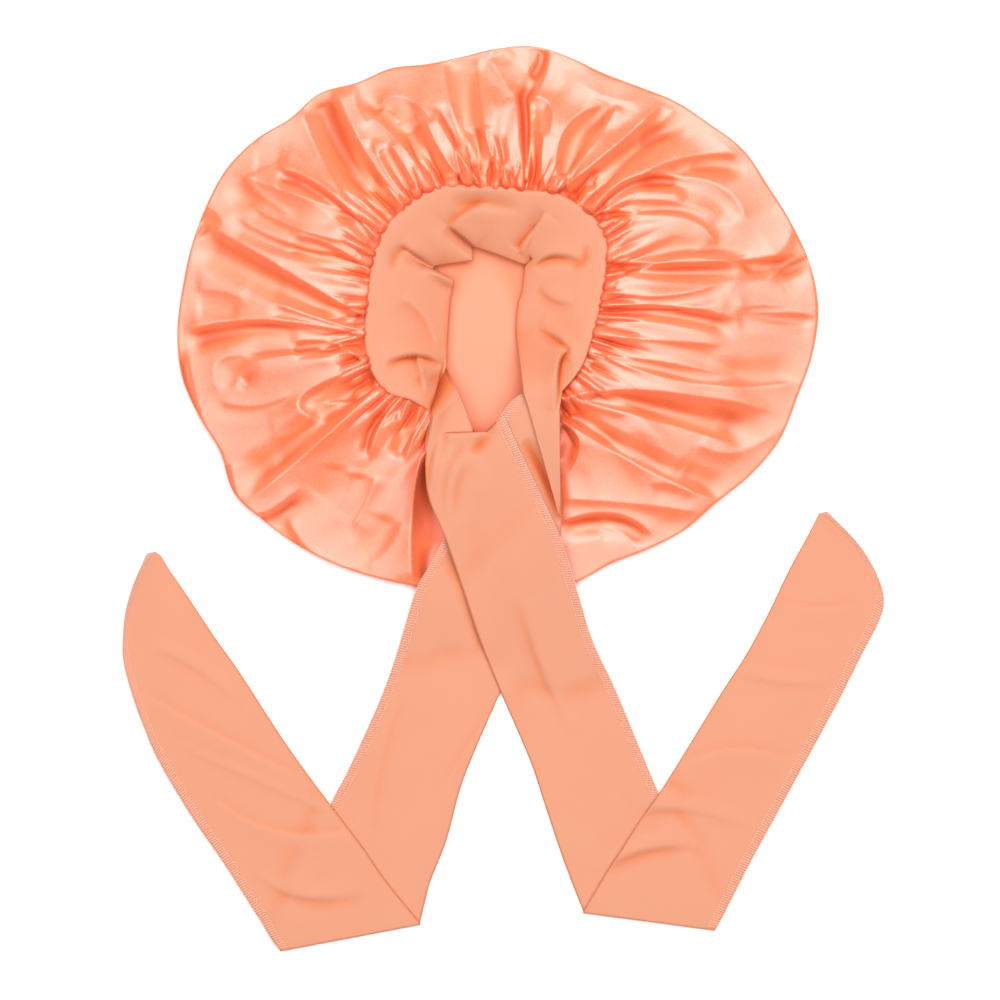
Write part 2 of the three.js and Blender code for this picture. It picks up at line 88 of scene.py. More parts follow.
LINING_STEP = 4
FLOOR_SHARES = np.array([1.0, 0.85, 0.7, 0.55, 0.4, 0.25, 0.1])
FLOOR_EDGE = 0.95
FLOOR_FADE = 0.5
INSIDE_RISE = 1.8
UNDERSIDE_SHARES = (0.66, 0.33)
# The opening's centre and half sizes, towards whose edge shade is painted on the wrong side
OPENING = (-10.9, 91.0, 22.0, 54.0)

# The satin's folds: how their width and depth change from the seam outwards, what a fold
# reaches on each side in widths, and over what share of its length each end fades. Within
# SEAM_REACH of the seam an end doesn't fade, and the painted shade in gaps is deeper. All
# folds rise from the seam over SEAM_SMOOTH

FAN_REACH = 90.0
FAN_NARROW = 0.65
FAN_WIDE = 1.1
FAN_DEEP = 1.15
FAN_LOW = 0.95
GENTLE_REACH = 3.6
STEEP_REACH = 3.0
STEEP_FALL = 1.8
DROP_FADE = 1.8
FOLD_START = 0.15
FOLD_END = 0.2
SEAM_REACH = 14.0
SEAM_SMOOTH = 5.0

# The creases of the jersey: places on each line, what a crease reaches in widths, how
# full it stays towards its ends, and how softly its two sides meet

CREASE_STEPS = 14
CREASE_REACH = 2.6
FULLNESS = 0.6
TIE_TURN = 4.5
BAND_TURN = 2.2

# Painted shade: how many steps of smoothing tell a hollow from the cloth round it, across
# the rows and along them, the depth in millimetres or the lean that gives the full painted
# shade, what is left of it on level cloth, and how deep the painted shade is at the seam, on
# leaning cloth, along edges and under stitches

GAP_SMOOTHING = (8, 24)
VALLEY_SMOOTHING = (60, 200)
CREASE_SMOOTHING = (16, 16)
GAP_DEPTH = 1.1
VALLEY_DEPTH = 2.0
DEEP_VALLEY = 2.2
CREASE_DEPTH = 1.0
STEEP_LEAN = 0.14
GAP_LEVEL = 0.4
VALLEY_LEVEL = 0.5
SEAM_DEEPER = 1.5
SEAM_LINE = 1.6
SEAM_SHADE = 1.5
LEAN_SHADE = 0.3
EDGE_SHADE = 0.8
STITCH_SHADE = 0.2
STITCHED_COLUMNS = 4
MOST_SHADE = 2.0

# The band's grid: rows for each row of its tables, passes that even out its inner edge,
# how straight its pleats run and where they start, how much it swells, the rows that
# climb on the tie, and how its sewn edge lies past the seam and drops under the gathers

BAND_ROWS = 14
END_ROWS = 7
EVEN_PASSES = 260
PLEAT_STRAIGHT = 0.85
PLEAT_START = 0.25
PLEAT_GROWTH = 1.3
BAND_SWELL = 1.2
SWELL_SKEW = 0.7
CLIMB_ROWS = 42
SEWN_PAST = 0.2
SEWN_EDGE = 0.05
SEWN_DROP = 0.8

# Laid cloth: how far a run is smoothed where it drapes, and the turns of a tie's fold

FIRST_RUN_SOFT = 12.0
SECOND_RUN_SOFT = 10.0
BAND_SOFT = 8.0
TURN_ANGLES = (-45.0, 0.0, 45.0)

# The left tie's upper edge dips by so many millimetres between these shares of its
# width, over its first rows

LEFT_TIE_DIP = 7.0
DIP_SHARES = (0.0, 0.06, 0.77, 1.0)
DIP_DEPTHS = (0.0, 0.0, 1.0, 0.0)
DIP_ROWS = 9.0

# Colours of the painted shade in the satin's valleys, gaps and seam, tints of its gloss and
# coat and of the cloths' sheen, and the colour of the light round the bonnet

VALLEY_SHADE_COLOUR = (0.93, 0.182, 0.026)
GAP_SHADE_COLOUR = (0.60, 0.078, 0.010)
SEAM_SHADE_COLOUR = (0.92, 0.080, 0.012)
SATIN_GLOSS = (1.0, 0.82, 0.86, 1.0)
SATIN_COAT = (1.0, 0.95, 0.93, 1.0)
CLOTH_SHEEN = (1.0, 0.6, 0.4, 1.0)
SKY_COLOUR = (1.0, 0.87, 0.74, 1.0)

# Scales of the noises, for slow drifts of colour and for fine grain

SATIN_DRIFT = 18.0
SATIN_GRAIN = 800.0
WRONG_SIDE_DRIFT = 25.0
WRONG_SIDE_WEAVE = 2200.0
JERSEY_DRIFT = 30.0
JERSEY_LINT = 900.0
THREAD_TWIST = 1500.0
PAPER_GRAIN = 40.0

# What is left of each channel of a cloth's colour where its grain is darkest, in the painted
# shade on the wrong side near the band, and in the jersey's painted shade in hollows and
# deepest creases

SATIN_DARK = (1.0, 0.70, 0.57)
WRONG_SIDE_DARK = (0.98, 0.92, 0.88)
NEAR_BAND_SHADE = (0.98, 0.72, 0.55)
JERSEY_DARK = (0.96, 0.86, 0.80)
JERSEY_SHADE = (1.0, 0.55, 0.30)
JERSEY_DEEPEST_SHADE = (0.66, 0.20, 0.10)
THREAD_DARK = (0.85, 0.85, 0.85)

# A band wave has one period over this length at scale 1, and how long a knitted loop is
# as a share of the width of a wale

WAVE_SCALE = 0.314
LOOP_LENGTH = 0.8

# The stage in metres: how far the floor lies under the bonnet, the camera's place over
# it, and each square light's name, place, target and side

FLOOR_HEIGHT = -0.0004
VIEW_CENTRE = (-0.0015, -0.0015)
LIGHTS = (
    ("key", (0.25, 1.15, 2.0), (0.0, 0.05, 0.0), 1.4),
    ("top", (0.0, 0.7, 2.8), (0.0, 0.7, 0.0), 4.6),
)

# Swells: how many round the crown, their height, how they lean and where they start

SWELLS = (
    (7, 2.6, 0.20, 0.4),
    (17, 1.6, -0.16, 2.3),
    (37, 0.7, 0.12, 5.1),
)

# How far a swell bends from seam to rim, and how its height changes round the crown

SWELL_BEND = 1.4
SWELL_WAVE = 3.0
SIZE_PACE = 0.37
SIZE_WAVE = 4.0

# Gathers at the seam: their least and greatest width, height and length, how they narrow
# at the seam and further out, how deep they sink between, over what distance they rise,
# up to what share of their length they stay whole, and how and where they lean over it

GATHER_WIDTH = (2.8, 9.6)
GATHER_HEIGHT = (1.6, 4.2)
GATHER_LENGTH = (7.0, 30.0)
GATHER_NARROW = 0.94
GATHER_TAPER = 0.35
GATHER_SINK = 0.3
GATHER_RISE = 1.4
GATHER_WHOLE = 0.6
GATHER_LEAN = 1.6
LEAN_START = 1.2
LEAN_FADE = 5.0

# Longer gathers behind them: how many round the seam, their height, how far from
# the seam they are highest, over what length they fade, and where they start

LONG_GATHERS = (
    (47, 2.3, 9.0, 28.0, 1.9),
    (27, 0.8, 18.0, 40.0, 4.2),
)

# Waves that make them wander: their size, how many round the crown and where they start

WANDER = ((1.1, 3.0, 0.7), (0.8, 7.0, 2.1), (0.5, 13.0, 0.0))
WANDER_TURN = 1.6

# Waves that make them uneven: their size, their pace beside the gathers' own and their
# start, then what they do to each gather's reach, place and height, and the gathers' middle

UNEVEN = ((1.0, 0.31, 1.0), (0.8, 0.57, 2.0))
UNEVEN_REACH = 0.3
UNEVEN_TURN = 0.5
UNEVEN_HEIGHT = 0.25
GATHER_MIDDLE = 0.45


def rows(names, values):
    """A short table as one array for each named column."""
    table = np.array(values, dtype=float)
    return {name: table[:, column] for column, name in enumerate(names.split())}


# Crown sections: seam radius, puff height and seam height at each angle

SECTIONS = rows("angle seam puff lift", [
    (0, 66.3, 12, 21), (10, 69.8, 12, 21), (20, 74.7, 12, 21), (30, 81.2, 12, 21),
    (40, 82.8, 12, 21), (50, 81.3, 12, 21), (60, 79.2, 11, 21), (70, 74.3, 11, 21),
    (80, 72.6, 11, 21), (90, 72.4, 11, 21), (100, 74.1, 11, 21), (110, 77.1, 11, 21),
    (120, 78.2, 12, 21), (130, 77.4, 12, 21), (140, 77.6, 12, 21), (150, 75.8, 12, 21),
    (160, 73.6, 12, 21), (170, 71.8, 12, 21), (180, 72.0, 12, 21), (190, 74.2, 12, 21),
    (200, 76.8, 12, 21), (210, 78.6, 12, 21), (220, 77.6, 10, 20), (230, 71.1, 7, 18),
    (240, 70.1, 4, 15), (250, 71.3, 1, 13), (260, 72.4, 0, 12), (270, 73.2, 0, 12),
    (280, 73.2, 0, 12), (290, 72.1, 1, 13), (300, 69.4, 3, 15), (310, 66.3, 7, 18),
    (320, 65.7, 10, 20), (330, 65.3, 11, 21), (340, 64.2, 12, 21), (350, 64.5, 12, 21),
])

# The rim's radius, every eight degrees from +X towards +Y

RIM = [
    198.0, 195.0, 189.0, 183.6, 180.6, 173.4, 168.0, 161.4, 157.8, 159.0, 160.2, 156.6,
    152.4, 151.8, 156.0, 157.2, 164.4, 165.0, 172.8, 178.2, 180.0, 181.8, 183.6, 186.6,
    187.8, 184.8, 181.8, 187.8, 184.2, 181.2, 177.6, 174.0, 171.6, 172.8, 173.4, 172.8,
    171.6, 169.2, 172.8, 177.0, 179.4, 186.0, 191.4, 192.6, 196.2,
]

# Folds of the satin: three places in the photo's pixels that each crest runs through,
# with its steep side on the right, then its height, the depth beside it and both widths

SATIN_FOLDS = rows("x1 y1 x2 y2 x3 y3 rise drop rise_width drop_width", [
    (277, 170, 323, 189, 380, 243, 2.9, 3.1, 13.5, 5.2),
    (230, 172, 300, 198, 353, 218, 1.8, 2.2, 12, 8),
    (334, 86, 362, 146, 407, 214, 3.4, 4.4, 13.5, 9.2),
    (352, 212, 318, 152, 301, 104, 1.8, 2.4, 18, 10.3),
    (197, 219, 290, 274, 356, 313, 3.1, 4.6, 18, 9.2),
    (236, 243, 262, 256, 286, 272, 0.7, 0.6, 4.5, 1.7),
    (200, 206, 215, 212, 226, 230, 1.6, 2.2, 12, 9.2),
    (290, 237, 335, 249, 376, 278, 1.6, 2.4, 9, 5.2),
    (236, 216, 285, 243, 345, 257, 1.2, 1.3, 12, 4),
    (250, 206, 300, 231, 352, 246, 0.9, 1.1, 9, 3.4),
    (182, 334, 262, 321, 372, 339, 3.1, 3.7, 13.5, 5.8),
    (272, 303, 322, 321, 372, 335, 1.6, 2.2, 10.5, 3.7),
    (290, 343, 326, 342, 352, 354, 1.6, 3.3, 10.5, 5.8),
    (372, 358, 310, 355, 232, 367, 2.1, 2.2, 13.5, 5.8),
    (223, 398, 221, 360, 268, 361, 1.3, 2.9, 12, 9.2),
    (236, 390, 244, 376, 258, 370, 0.7, 1, 4.5, 3.4),
    (216, 400, 258, 406, 296, 392, 0.9, 1, 7.5, 4),
    (336, 426, 301, 400, 372, 366, 2.3, 3.5, 12, 10.3),
    (378, 388, 322, 441, 240, 507, 3.2, 5.6, 12, 9),
    (187, 344, 205, 424, 241, 506, 1.6, 4.4, 12, 9),
    (238, 504, 264, 513, 304, 484, 1.8, 2.4, 7, 4.6),
    (232, 462, 236, 484, 242, 506, 1.4, 1.6, 5, 5),
    (414, 592, 412, 520, 424, 446, 3.6, 9.0, 13.5, 12.6),
    (404, 398, 381, 425, 370, 462, 2.1, 2.9, 7.5, 3.4),
    (421, 403, 414, 435, 404, 464, 1.8, 3.5, 7.5, 5.8),
    (409, 400, 405, 410, 402, 424, 1, 2.2, 3.8, 2.9),
    (376, 474, 368, 502, 349, 530, 1.2, 1.5, 9, 8),
    (352, 466, 345, 490, 330, 512, 0.8, 1.1, 12, 8),
    (286, 512, 318, 556, 368, 569, 1.3, 2.4, 9, 5.8),
    (404, 518, 388, 550, 362, 570, 1.3, 1.4, 10.5, 9.2),
    (523, 198, 520, 140, 513, 84, 3.1, 4.8, 12, 5.8),
    (528, 92, 530, 132, 527, 182, 1.8, 2.6, 9, 3.4),
    (478, 184, 453, 149, 431, 108, 2.3, 2.4, 10.5, 4.6),
    (379, 110, 402, 99, 437, 126, 1.3, 1.5, 9, 8),
    (426, 120, 438, 149, 456, 176, 1.8, 2.6, 7.5, 8),
    (434, 193, 398, 143, 357, 106, 1.8, 1.8, 10.5, 6.9),
    (390, 145, 404, 167, 421, 196, 1.3, 2, 6, 5.8),
    (374, 140, 386, 172, 412, 206, 1.3, 1.8, 7.5, 5.8),
    (472, 170, 452, 112, 443, 52, 1, 1.7, 18, 10.3),
    (478, 52, 481, 95, 486, 150, 1.3, 2, 13.5, 12.6),
    (484, 128, 490, 154, 504, 188, 1.7, 2, 6, 5.8),
    (508, 186, 500, 162, 492, 136, 1.2, 1.7, 4.5, 3.4),
    (488, 58, 502, 82, 517, 102, 0.9, 1.1, 7.5, 5.8),
    (486, 64, 504, 46, 522, 66, 0.8, 0.9, 6, 4.6),
    (526, 74, 534, 64, 538, 50, 0.8, 1, 4.5, 3.4),
    (549, 44, 545, 78, 527, 110, 1.2, 1.7, 13.5, 4.6),
    (527, 100, 550, 108, 547, 146, 1.3, 1.8, 9, 6.9),
    (546, 132, 541, 158, 544, 188, 1.2, 2, 7.5, 5.2),
    (562, 190, 611, 152, 668, 98, 3.1, 5.5, 13.5, 10.3),
    (636, 128, 662, 122, 674, 106, 0.8, 1.1, 7.5, 5.8),
    (556, 190, 567, 128, 618, 104, 2, 2.9, 12, 10.3),
    (617, 106, 600, 136, 563, 184, 1.6, 1.8, 7.5, 6.9),
    (574, 190, 590, 172, 604, 176, 0.8, 1.5, 7.5, 6.9),
    (588, 222, 632, 180, 694, 185, 2, 3.7, 13.5, 4.6),
    (672, 179, 722, 190, 745, 226, 1.8, 2.6, 15, 8),
    (632, 182, 690, 158, 750, 156, 2, 2.4, 15, 5.8),
    (602, 214, 652, 202, 726, 218, 1.3, 2, 10.5, 8),
    (594, 217, 612, 213, 640, 216, 1, 2.4, 6, 3.4),
    (716, 250, 682, 220, 612, 222, 2, 1.5, 13.5, 5.8),
    (600, 262, 700, 264, 814, 250, 2.1, 3.7, 18, 5.2),
    (752, 278, 690, 260, 606, 287, 2.3, 2.4, 12, 6.3),
    (600, 292, 662, 298, 728, 282, 1.2, 1.9, 9, 4.6),
    (594, 309, 672, 308, 742, 322, 1.8, 3.3, 10.5, 5.2),
    (728, 311, 775, 308, 824, 321, 1.6, 2.4, 12, 5.8),
    (820, 324, 775, 326, 728, 312, 1.2, 1.1, 12, 4.6),
    (592, 337, 660, 342, 730, 346, 1.2, 1.9, 12, 6.3),
    (592, 357, 662, 363, 738, 378, 1.4, 2.4, 13.5, 8),
    (806, 382, 704, 386, 606, 360, 2.2, 2.1, 13.5, 6.9),
    (764, 280, 792, 262, 812, 252, 0.8, 1, 6, 3.4),
    (764, 262, 790, 236, 781, 196, 1.3, 2, 13.5, 9.2),
    (560, 401, 652, 392, 794, 416, 2.6, 4, 13.5, 10.3),
    (742, 449, 664, 424, 570, 400, 2, 1.8, 10.5, 8),
    (694, 440, 736, 452, 790, 420, 1.6, 1.7, 10.5, 11.5),
    (562, 401, 590, 407, 632, 418, 1, 3.1, 7.5, 10.3),
    (724, 503, 646, 470, 556, 417, 2.1, 2.4, 13.5, 5.8),
    (552, 424, 578, 440, 566, 480, 1.3, 3.7, 9, 6.9),
    (556, 499, 628, 503, 708, 514, 1.6, 2.1, 12, 8),
    (552, 524, 616, 514, 658, 542, 2.6, 4, 9, 5.8),
    (598, 527, 622, 534, 642, 556, 0.9, 1.1, 6, 4.6),
    (648, 485, 672, 485, 700, 498, 0.9, 1.1, 7.5, 4.6),
    (372, 128, 358, 108, 356, 80, 0.8, 1.1, 10.5, 8),
    (246, 176, 262, 196, 300, 222, 0.9, 1.1, 13.5, 5.8),
    (252, 142, 286, 150, 318, 178, 0.8, 1, 18, 10.3),
    (700, 120, 722, 146, 750, 168, 0.7, 0.9, 15, 10.3),
    (560, 70, 600, 96, 640, 104, 0.7, 0.9, 18, 11.5),
    (196, 290, 222, 292, 250, 302, 1, 1.3, 12, 6.9),
    (270, 440, 300, 430, 316, 410, 0.8, 0.9, 13.5, 9.2),
])

# Lines in millimetres beside the ties along which shade is painted on the satin where it looks
# tucked in, how wide and deep the painted shade is, and what it reaches in widths

TUCK_SHADE_REACH = 2.5
TUCK_SHADES = rows("x1 y1 x2 y2 x3 y3 width depth", [
    (-47.5, 33.0, -49.0, -2.0, -34.0, -38.0, 8.5, 1.0),
    (36.0, 62.0, 36.5, 38.0, 35.5, 8.0, 5.0, 0.8),
])

# The band's sewn edge by angle, its inner edge's place and height, and where it's pleated

BAND_EDGE = rows("seam x y inner depth", [
    (241, -33.9, 77.5, 8.1, 0), (230, -33.6, 84.0, 6.8, 0), (215, -33.0, 95.0, 5.7, 0),
    (200, -32.2, 106.5, 5.5, 0), (185, -31.5, 116.7, 5.5, 0), (168, -30.2, 124.5, 5.7, 0),
    (156, -29.2, 129.9, 7.0, 1), (150, -41.7, 136.5, 6.0, 1), (146, -40.0, 138.9, 6.0, 1),
    (129, -18.0, 141.9, 7.5, 1), (123, -18.5, 150.0, 5.5, 1), (119, -15.5, 149.8, 7.8, 1),
    (100, -4.0, 145.8, 7.5, 1), (73, 12.9, 139.4, 6.8, 1), (68, 17.6, 142.6, 5.2, 1),
    (63, 11.5, 150.1, 7.8, 1), (50, 21.0, 138.5, 7.8, 1), (44, 13.8, 138.7, 6.0, 1),
    (34, 12.0, 124.5, 5.5, 0), (18, 9.3, 115.5, 5.2, 0), (0, 8.1, 101.1, 5.2, 0),
    (340, 9.3, 88.5, 5.7, 0), (325, 11.1, 74.1, 6.5, 0), (312, 12.6, 62.0, 7.3, 0),
])

# The band's ends past the seam: outer and inner edge, and their heights

BAND_LEFT_END = rows("outer_x outer_y inner_x inner_y outer inner", [
    (-44.6, 19.0, -14.0, 26.0, 17.5, 16.0),
    (-46.0, 34.0, -19.0, 44.0, 18.0, 15.5),
    (-43.0, 45.0, -26.0, 62.0, 19.0, 14.5),
])
BAND_RIGHT_END = rows("outer_x outer_y inner_x inner_y outer inner", [
    (33.9, 52.0, 15.4, 53.0, 19.5, 15.5),
    (34.0, 34.0, 20.5, 35.0, 18.5, 16.5),
    (34.2, 14.0, 26.5, 14.5, 17.5, 16.5),
    (34.5, -12.0, 33.6, -11.0, 16.0, 16.0),
])

# Folds and turned edges in the jersey, in millimetres: three places on each line, and
# the height and width of the cloth's rise or dip on its left and on its right

FOLD_NAMES = "x1 y1 x2 y2 x3 y3 left right left_width right_width"
BAND_FOLDS = rows(FOLD_NAMES, [
    (-15.9, 149.7, -23.7, 155.7, -32.5, 162.0, -3, 1.6, 6, 10),
    (-30.9, 160.5, -23.1, 168.9, -9.1, 175.9, -1.6, 1.4, 5, 8),
    (-30.3, 174.3, -11.7, 175.5, 9.5, 172.0, -2.2, -2.2, 5, 3.5),
    (-38.9, 137.2, -49.5, 143.7, -60.5, 150.7, -1.9, 1.4, 5, 7),
    (-54.9, 149.5, -62.7, 144.9, -64.5, 135.7, -1.8, -1.8, 3, 3),
    (-45.5, 138.7, -36.9, 132.9, -26.5, 128.3, 0.8, 2.2, 3, 4),
    (-43.5, 133.7, -36.9, 128.7, -29.5, 124.3, -1.2, -1.2, 3, 3),
    (-69.7, 80.0, -51.3, 85.1, -36.8, 79.5, 2.3, -2.4, 8, 6),
    (-51.6, 86.3, -49.5, 75.0, -46.6, 63.9, 1.6, -1.2, 5, 5),
    (-49.3, 73.9, -42.3, 69.9, -35.9, 75.1, -2.7, -2.7, 5, 5),
    (-34.6, 83.0, -39.3, 58.5, -46.0, 27.5, 3, -3, 6, 5),
    (25.7, 169.8, 14.7, 155.1, 9.1, 147.3, 2, -1.9, 9, 5),
    (19.0, 138.0, 29.7, 144.3, 46.5, 141.3, 1.4, -1.9, 8, 6),
    (49.4, 149.9, 47.1, 140.7, 40.6, 138.4, -1.6, -1.6, 3, 3),
    (21.3, 101.5, 36.6, 92.3, 39.7, 84.1, 1.6, -1.6, 6, 6),
    (39.1, 86.9, 33.3, 78.9, 33.2, 55.3, -3.5, 2.2, 6, 7),
    (-60.0, 118.0, -48.0, 108.0, -40.0, 92.0, 0.8, -0.8, 9, 9),
    (22.0, 126.0, 30.0, 118.0, 42.0, 116.0, 0.8, -0.8, 8, 8),
])
LEFT_TIE_FOLDS = rows(FOLD_NAMES, [
    (-6.0, 42.9, -11.1, 35.1, -17.9, 25.5, -2.0, -2.0, 4, 3),
    (-36.5, 44.0, -41.5, 24.0, -43.5, 4.0, 1.4, -1.5, 4, 4),
    (-24.0, 33.0, -34.0, 12.0, -36.0, -14.0, -0.9, 0.5, 7, 9),
    (-20.0, 22.0, -28.0, 8.0, -30.0, -12.0, -0.8, 0.6, 8, 10),
    (10.0, -60.0, 22.0, -100.0, 40.0, -140.0, 0.7, -0.6, 12, 12),
    (60.0, -225.0, 84.0, -212.0, 118.0, -210.0, 0.9, -0.9, 7, 7),
    (80.0, -190.0, 110.0, -188.0, 150.0, -200.0, 0.8, -0.8, 8, 8),
    (105.0, -160.0, 140.0, -150.0, 176.0, -158.0, -0.8, 0.8, 9, 9),
    (140.0, -104.0, 165.0, -112.0, 196.0, -112.0, 0.7, -0.7, 8, 8),
    (165.0, -62.0, 190.0, -66.0, 212.0, -62.0, -0.7, 0.6, 8, 8),
])
RIGHT_TIE_FOLDS = rows(FOLD_NAMES, [
    (13.0, 34.0, 25.0, 11.0, 34.0, -14.0, -4.6, -4.6, 4.4, 4.4),
    (-36.0, -20.0, -18.5, -70.5, -1.5, -115.5, -1.5, -1.5, 3.0, 5.5),
    (4.0, -110.0, -16.0, -140.0, -40.0, -180.0, 0.6, -0.8, 10, 10),
    (-60.0, -120.0, -72.0, -160.0, -80.0, -210.0, -0.7, 0.7, 10, 10),
    (-219.0, -114.0, -166.7, -143.3, -110.0, -172.0, -1.0, 0.8, 7, 7),
    (-180.0, -173.0, -139.5, -197.7, -92.0, -200.0, -1.0, 0.8, 7, 7),
    (-196.0, -150.0, -150.0, -170.0, -104.0, -190.0, 0.6, -0.6, 6, 6),
    (-212.0, -92.0, -190.0, -100.0, -160.0, -122.0, 0.7, -0.7, 8, 8),
    (-150.0, -225.0, -120.0, -240.0, -84.0, -236.0, 0.7, -0.7, 8, 8),
])

# How the first rows of the left tie rise where they show, how deep the others sink, and
# from what share of its width the rows show

LEFT_TIE_START = (-1.0, 0.1, 0.5, 0.6, 0.4, 0.2)
START_SINK = 2.6
START_ROWS = 14
SHOWN_FROM = 0.16
SHOWN_FADE = 0.12

# Tie sections: the smooth edge and the stitched edge, up to the fold and on

TIE_NAMES = "smooth_x smooth_y stitched_x stitched_y"
LEFT_TIE_FIRST = rows(TIE_NAMES, [
    (-42.8, 37.5, 0.5, 48.5), (-45.9, 21.5, 10.0, 27.5), (-44.0, 0.0, 20.5, 5.0),
    (-34.0, -25.0, 34.5, -25.0), (-23.5, -55.5, 44.5, -56.5), (-13.5, -85.5, 53.5, -85.5),
    (-1.5, -115.5, 67.5, -115.5), (16.5, -157.5, 87.5, -163.5), (25.5, -184.5, 96.0, -183.5),
    (34.5, -211.5, 106.5, -208.5), (41.5, -230.5, 117.5, -234.5), (48.5, -248.0, 127.5, -258.5),
])
LEFT_TIE_SECOND = rows(TIE_NAMES, [
    (48.5, -248.0, 127.5, -258.5), (60.5, -227.5, 132.0, -250.5), (71.5, -210.5, 139.5, -236.0),
    (82.5, -193.5, 148.5, -218.5), (99.0, -169.5, 160.5, -196.5), (130.5, -118.5, 189.5, -143.5),
    (146.0, -94.5, 202.5, -119.5), (159.5, -69.5, 215.0, -94.5), (170.0, -47.5, 225.5, -74.0),
    (176.5, -35.0, 228.5, -61.5), (181.5, -26.0, 225.5, -49.0), (185.5, -18.5, 218.0, -34.5),
    (188.0, -13.5, 209.0, -23.0), (190.0, -9.5, 194.5, -8.5),
])
RIGHT_TIE_FIRST = rows(TIE_NAMES, [
    (33.8, 66.5, 12.5, 62.0), (34.0, 52.5, 4.5, 55.5), (34.5, 34.5, -6.5, 39.5),
    (34.5, 13.5, -17.0, 17.5), (35.5, -8.5, -26.5, -4.0), (33.5, -28.5, -35.0, -25.0),
    (25.5, -48.5, -43.5, -41.0), (18.5, -67.5, -52.0, -57.0), (4.5, -104.5, -62.5, -91.5),
    (-5.0, -125.0, -73.0, -121.0), (-23.5, -169.0, -91.5, -162.0), (-33.5, -205.0, -103.0, -184.5),
    (-43.0, -229.5, -118.5, -223.5), (-46.5, -242.5, -126.5, -247.5), (-49.5, -255.0, -133.5, -271.0),
])
RIGHT_TIE_SECOND = rows(TIE_NAMES, [
    (-49.5, -255.0, -133.5, -271.0), (-61.5, -240.5, -138.5, -264.5), (-72.5, -226.5, -144.5, -254.5),
    (-83.0, -211.0, -151.5, -243.5), (-103.0, -184.5, -166.5, -220.0), (-129.0, -149.0, -187.0, -190.0),
    (-157.0, -106.0, -206.0, -158.0), (-171.5, -85.5, -214.5, -138.5), (-183.5, -67.5, -221.5, -119.5),
    (-193.5, -52.5, -227.0, -99.0), (-198.5, -45.5, -227.5, -85.5), (-202.0, -40.0, -226.0, -69.0),
    (-205.0, -35.0, -221.0, -51.5), (-208.5, -32.5, -213.0, -33.5),
])


# Sizes and colours that a user would change


class CrownSettings(bpy.types.PropertyGroup):
    rows: IntProperty(
        name="Rows", description="Rows of points from the seam to the rim", default=94, min=20)
    columns: IntProperty(
        name="Columns", description="Points round the crown, a multiple of four",
        default=800, min=80, step=4)
    rim_height: FloatProperty(
        name="Rim height", description="Height of the rim's widest line",
        default=0.0026, unit="LENGTH")
    rim_round: FloatProperty(
        name="Rim round", description="Width of the rim's rounding",
        default=0.0010, unit="LENGTH")
    wall: FloatProperty(
        name="Satin wall", description="Thickness of the satin", default=0.0005, unit="LENGTH")
    colour: FloatVectorProperty(
        name="Satin colour", description="Colour of the satin",
        subtype="COLOR", size=3, default=(0.90, 0.202, 0.078))
    wrong_side: FloatVectorProperty(
        name="Wrong side", description="Colour of the satin's matte side",
        subtype="COLOR", size=3, default=(0.80, 0.29, 0.185))


class JerseySettings(bpy.types.PropertyGroup):
    wall: FloatProperty(
        name="Jersey wall", description="Thickness of the doubled jersey",
        default=0.0011, unit="LENGTH")
    row_step: FloatProperty(
        name="Row step", description="Spacing of the cloth's rows", default=0.0018, unit="LENGTH")
    columns: IntProperty(
        name="Columns", description="Points across the cloth", default=48, min=8)
    slope: FloatProperty(
        name="Slope", description="Steepest fall of a tie laid over an edge", default=0.16)
    lift: FloatProperty(
        name="Lift", description="Room between two laid layers", default=0.0004, unit="LENGTH")
    colour: FloatVectorProperty(
        name="Jersey colour", description="Colour of the jersey",
        subtype="COLOR", size=3, default=(0.602, 0.277, 0.180))
    wale: FloatProperty(
        name="Wale", description="Spacing of the knitted wales", default=0.0006, unit="LENGTH")


class StitchSettings(bpy.types.PropertyGroup):
    pitch: FloatProperty(
        name="Pitch", description="Distance from one stitch to the next",
        default=0.0015, unit="LENGTH")
    width: FloatProperty(
        name="Width", description="Width of the overlocked edge", default=0.0048, unit="LENGTH")
    thread: FloatProperty(
        name="Thread", description="Thickness of the thread", default=0.00042, unit="LENGTH")
    colour: FloatVectorProperty(
        name="Thread colour", description="Colour of the thread",
        subtype="COLOR", size=3, default=(0.95, 0.57, 0.46))


class StageSettings(bpy.types.PropertyGroup):
    lens: FloatProperty(
        name="Lens", description="Camera lens in millimetres", default=135.0)
    view_width: FloatProperty(
        name="View width", description="Width of the surface that the camera sees",
        default=0.6, unit="LENGTH")
    floor: FloatProperty(
        name="Floor", description="Side of the floor", default=8.0, unit="LENGTH")
    key: FloatProperty(
        name="Key light", description="Power of the soft light behind the crown",
        default=18.0, unit="POWER")
    top: FloatProperty(
        name="Top light", description="Power of the soft light overhead",
        default=166.0, unit="POWER")
    sky: FloatProperty(
        name="Sky", description="Strength of the light from all round", default=0.30)


# Numbers along tables


def blend(value):
    """A smooth step from 0 to 1."""
    share = np.clip(value, 0.0, 1.0)
    return share * share * (3.0 - 2.0 * share)


def through(before, start, end, after, share):
    """A smooth curve from start to end that also follows its neighbours."""
    slope_start = (end - before) / 2.0
    slope_end = (after - start) / 2.0
    square = share * share
    cube = square * share
    return ((2 * cube - 3 * square + 1) * start + (cube - 2 * square + share) * slope_start
            + (3 * square - 2 * cube) * end + (cube - square) * slope_end)


def around_table(values, degrees):
    """Values of an even table round the circle, at any angles."""
    values = np.asarray(values)
    count = len(values)
    place = (np.asarray(degrees) % 360.0) * count / 360.0
    index = np.floor(place).astype(int)
    near = [values[(index + offset) % count] for offset in (-1, 0, 1, 2)]
    return through(*near, place - index)


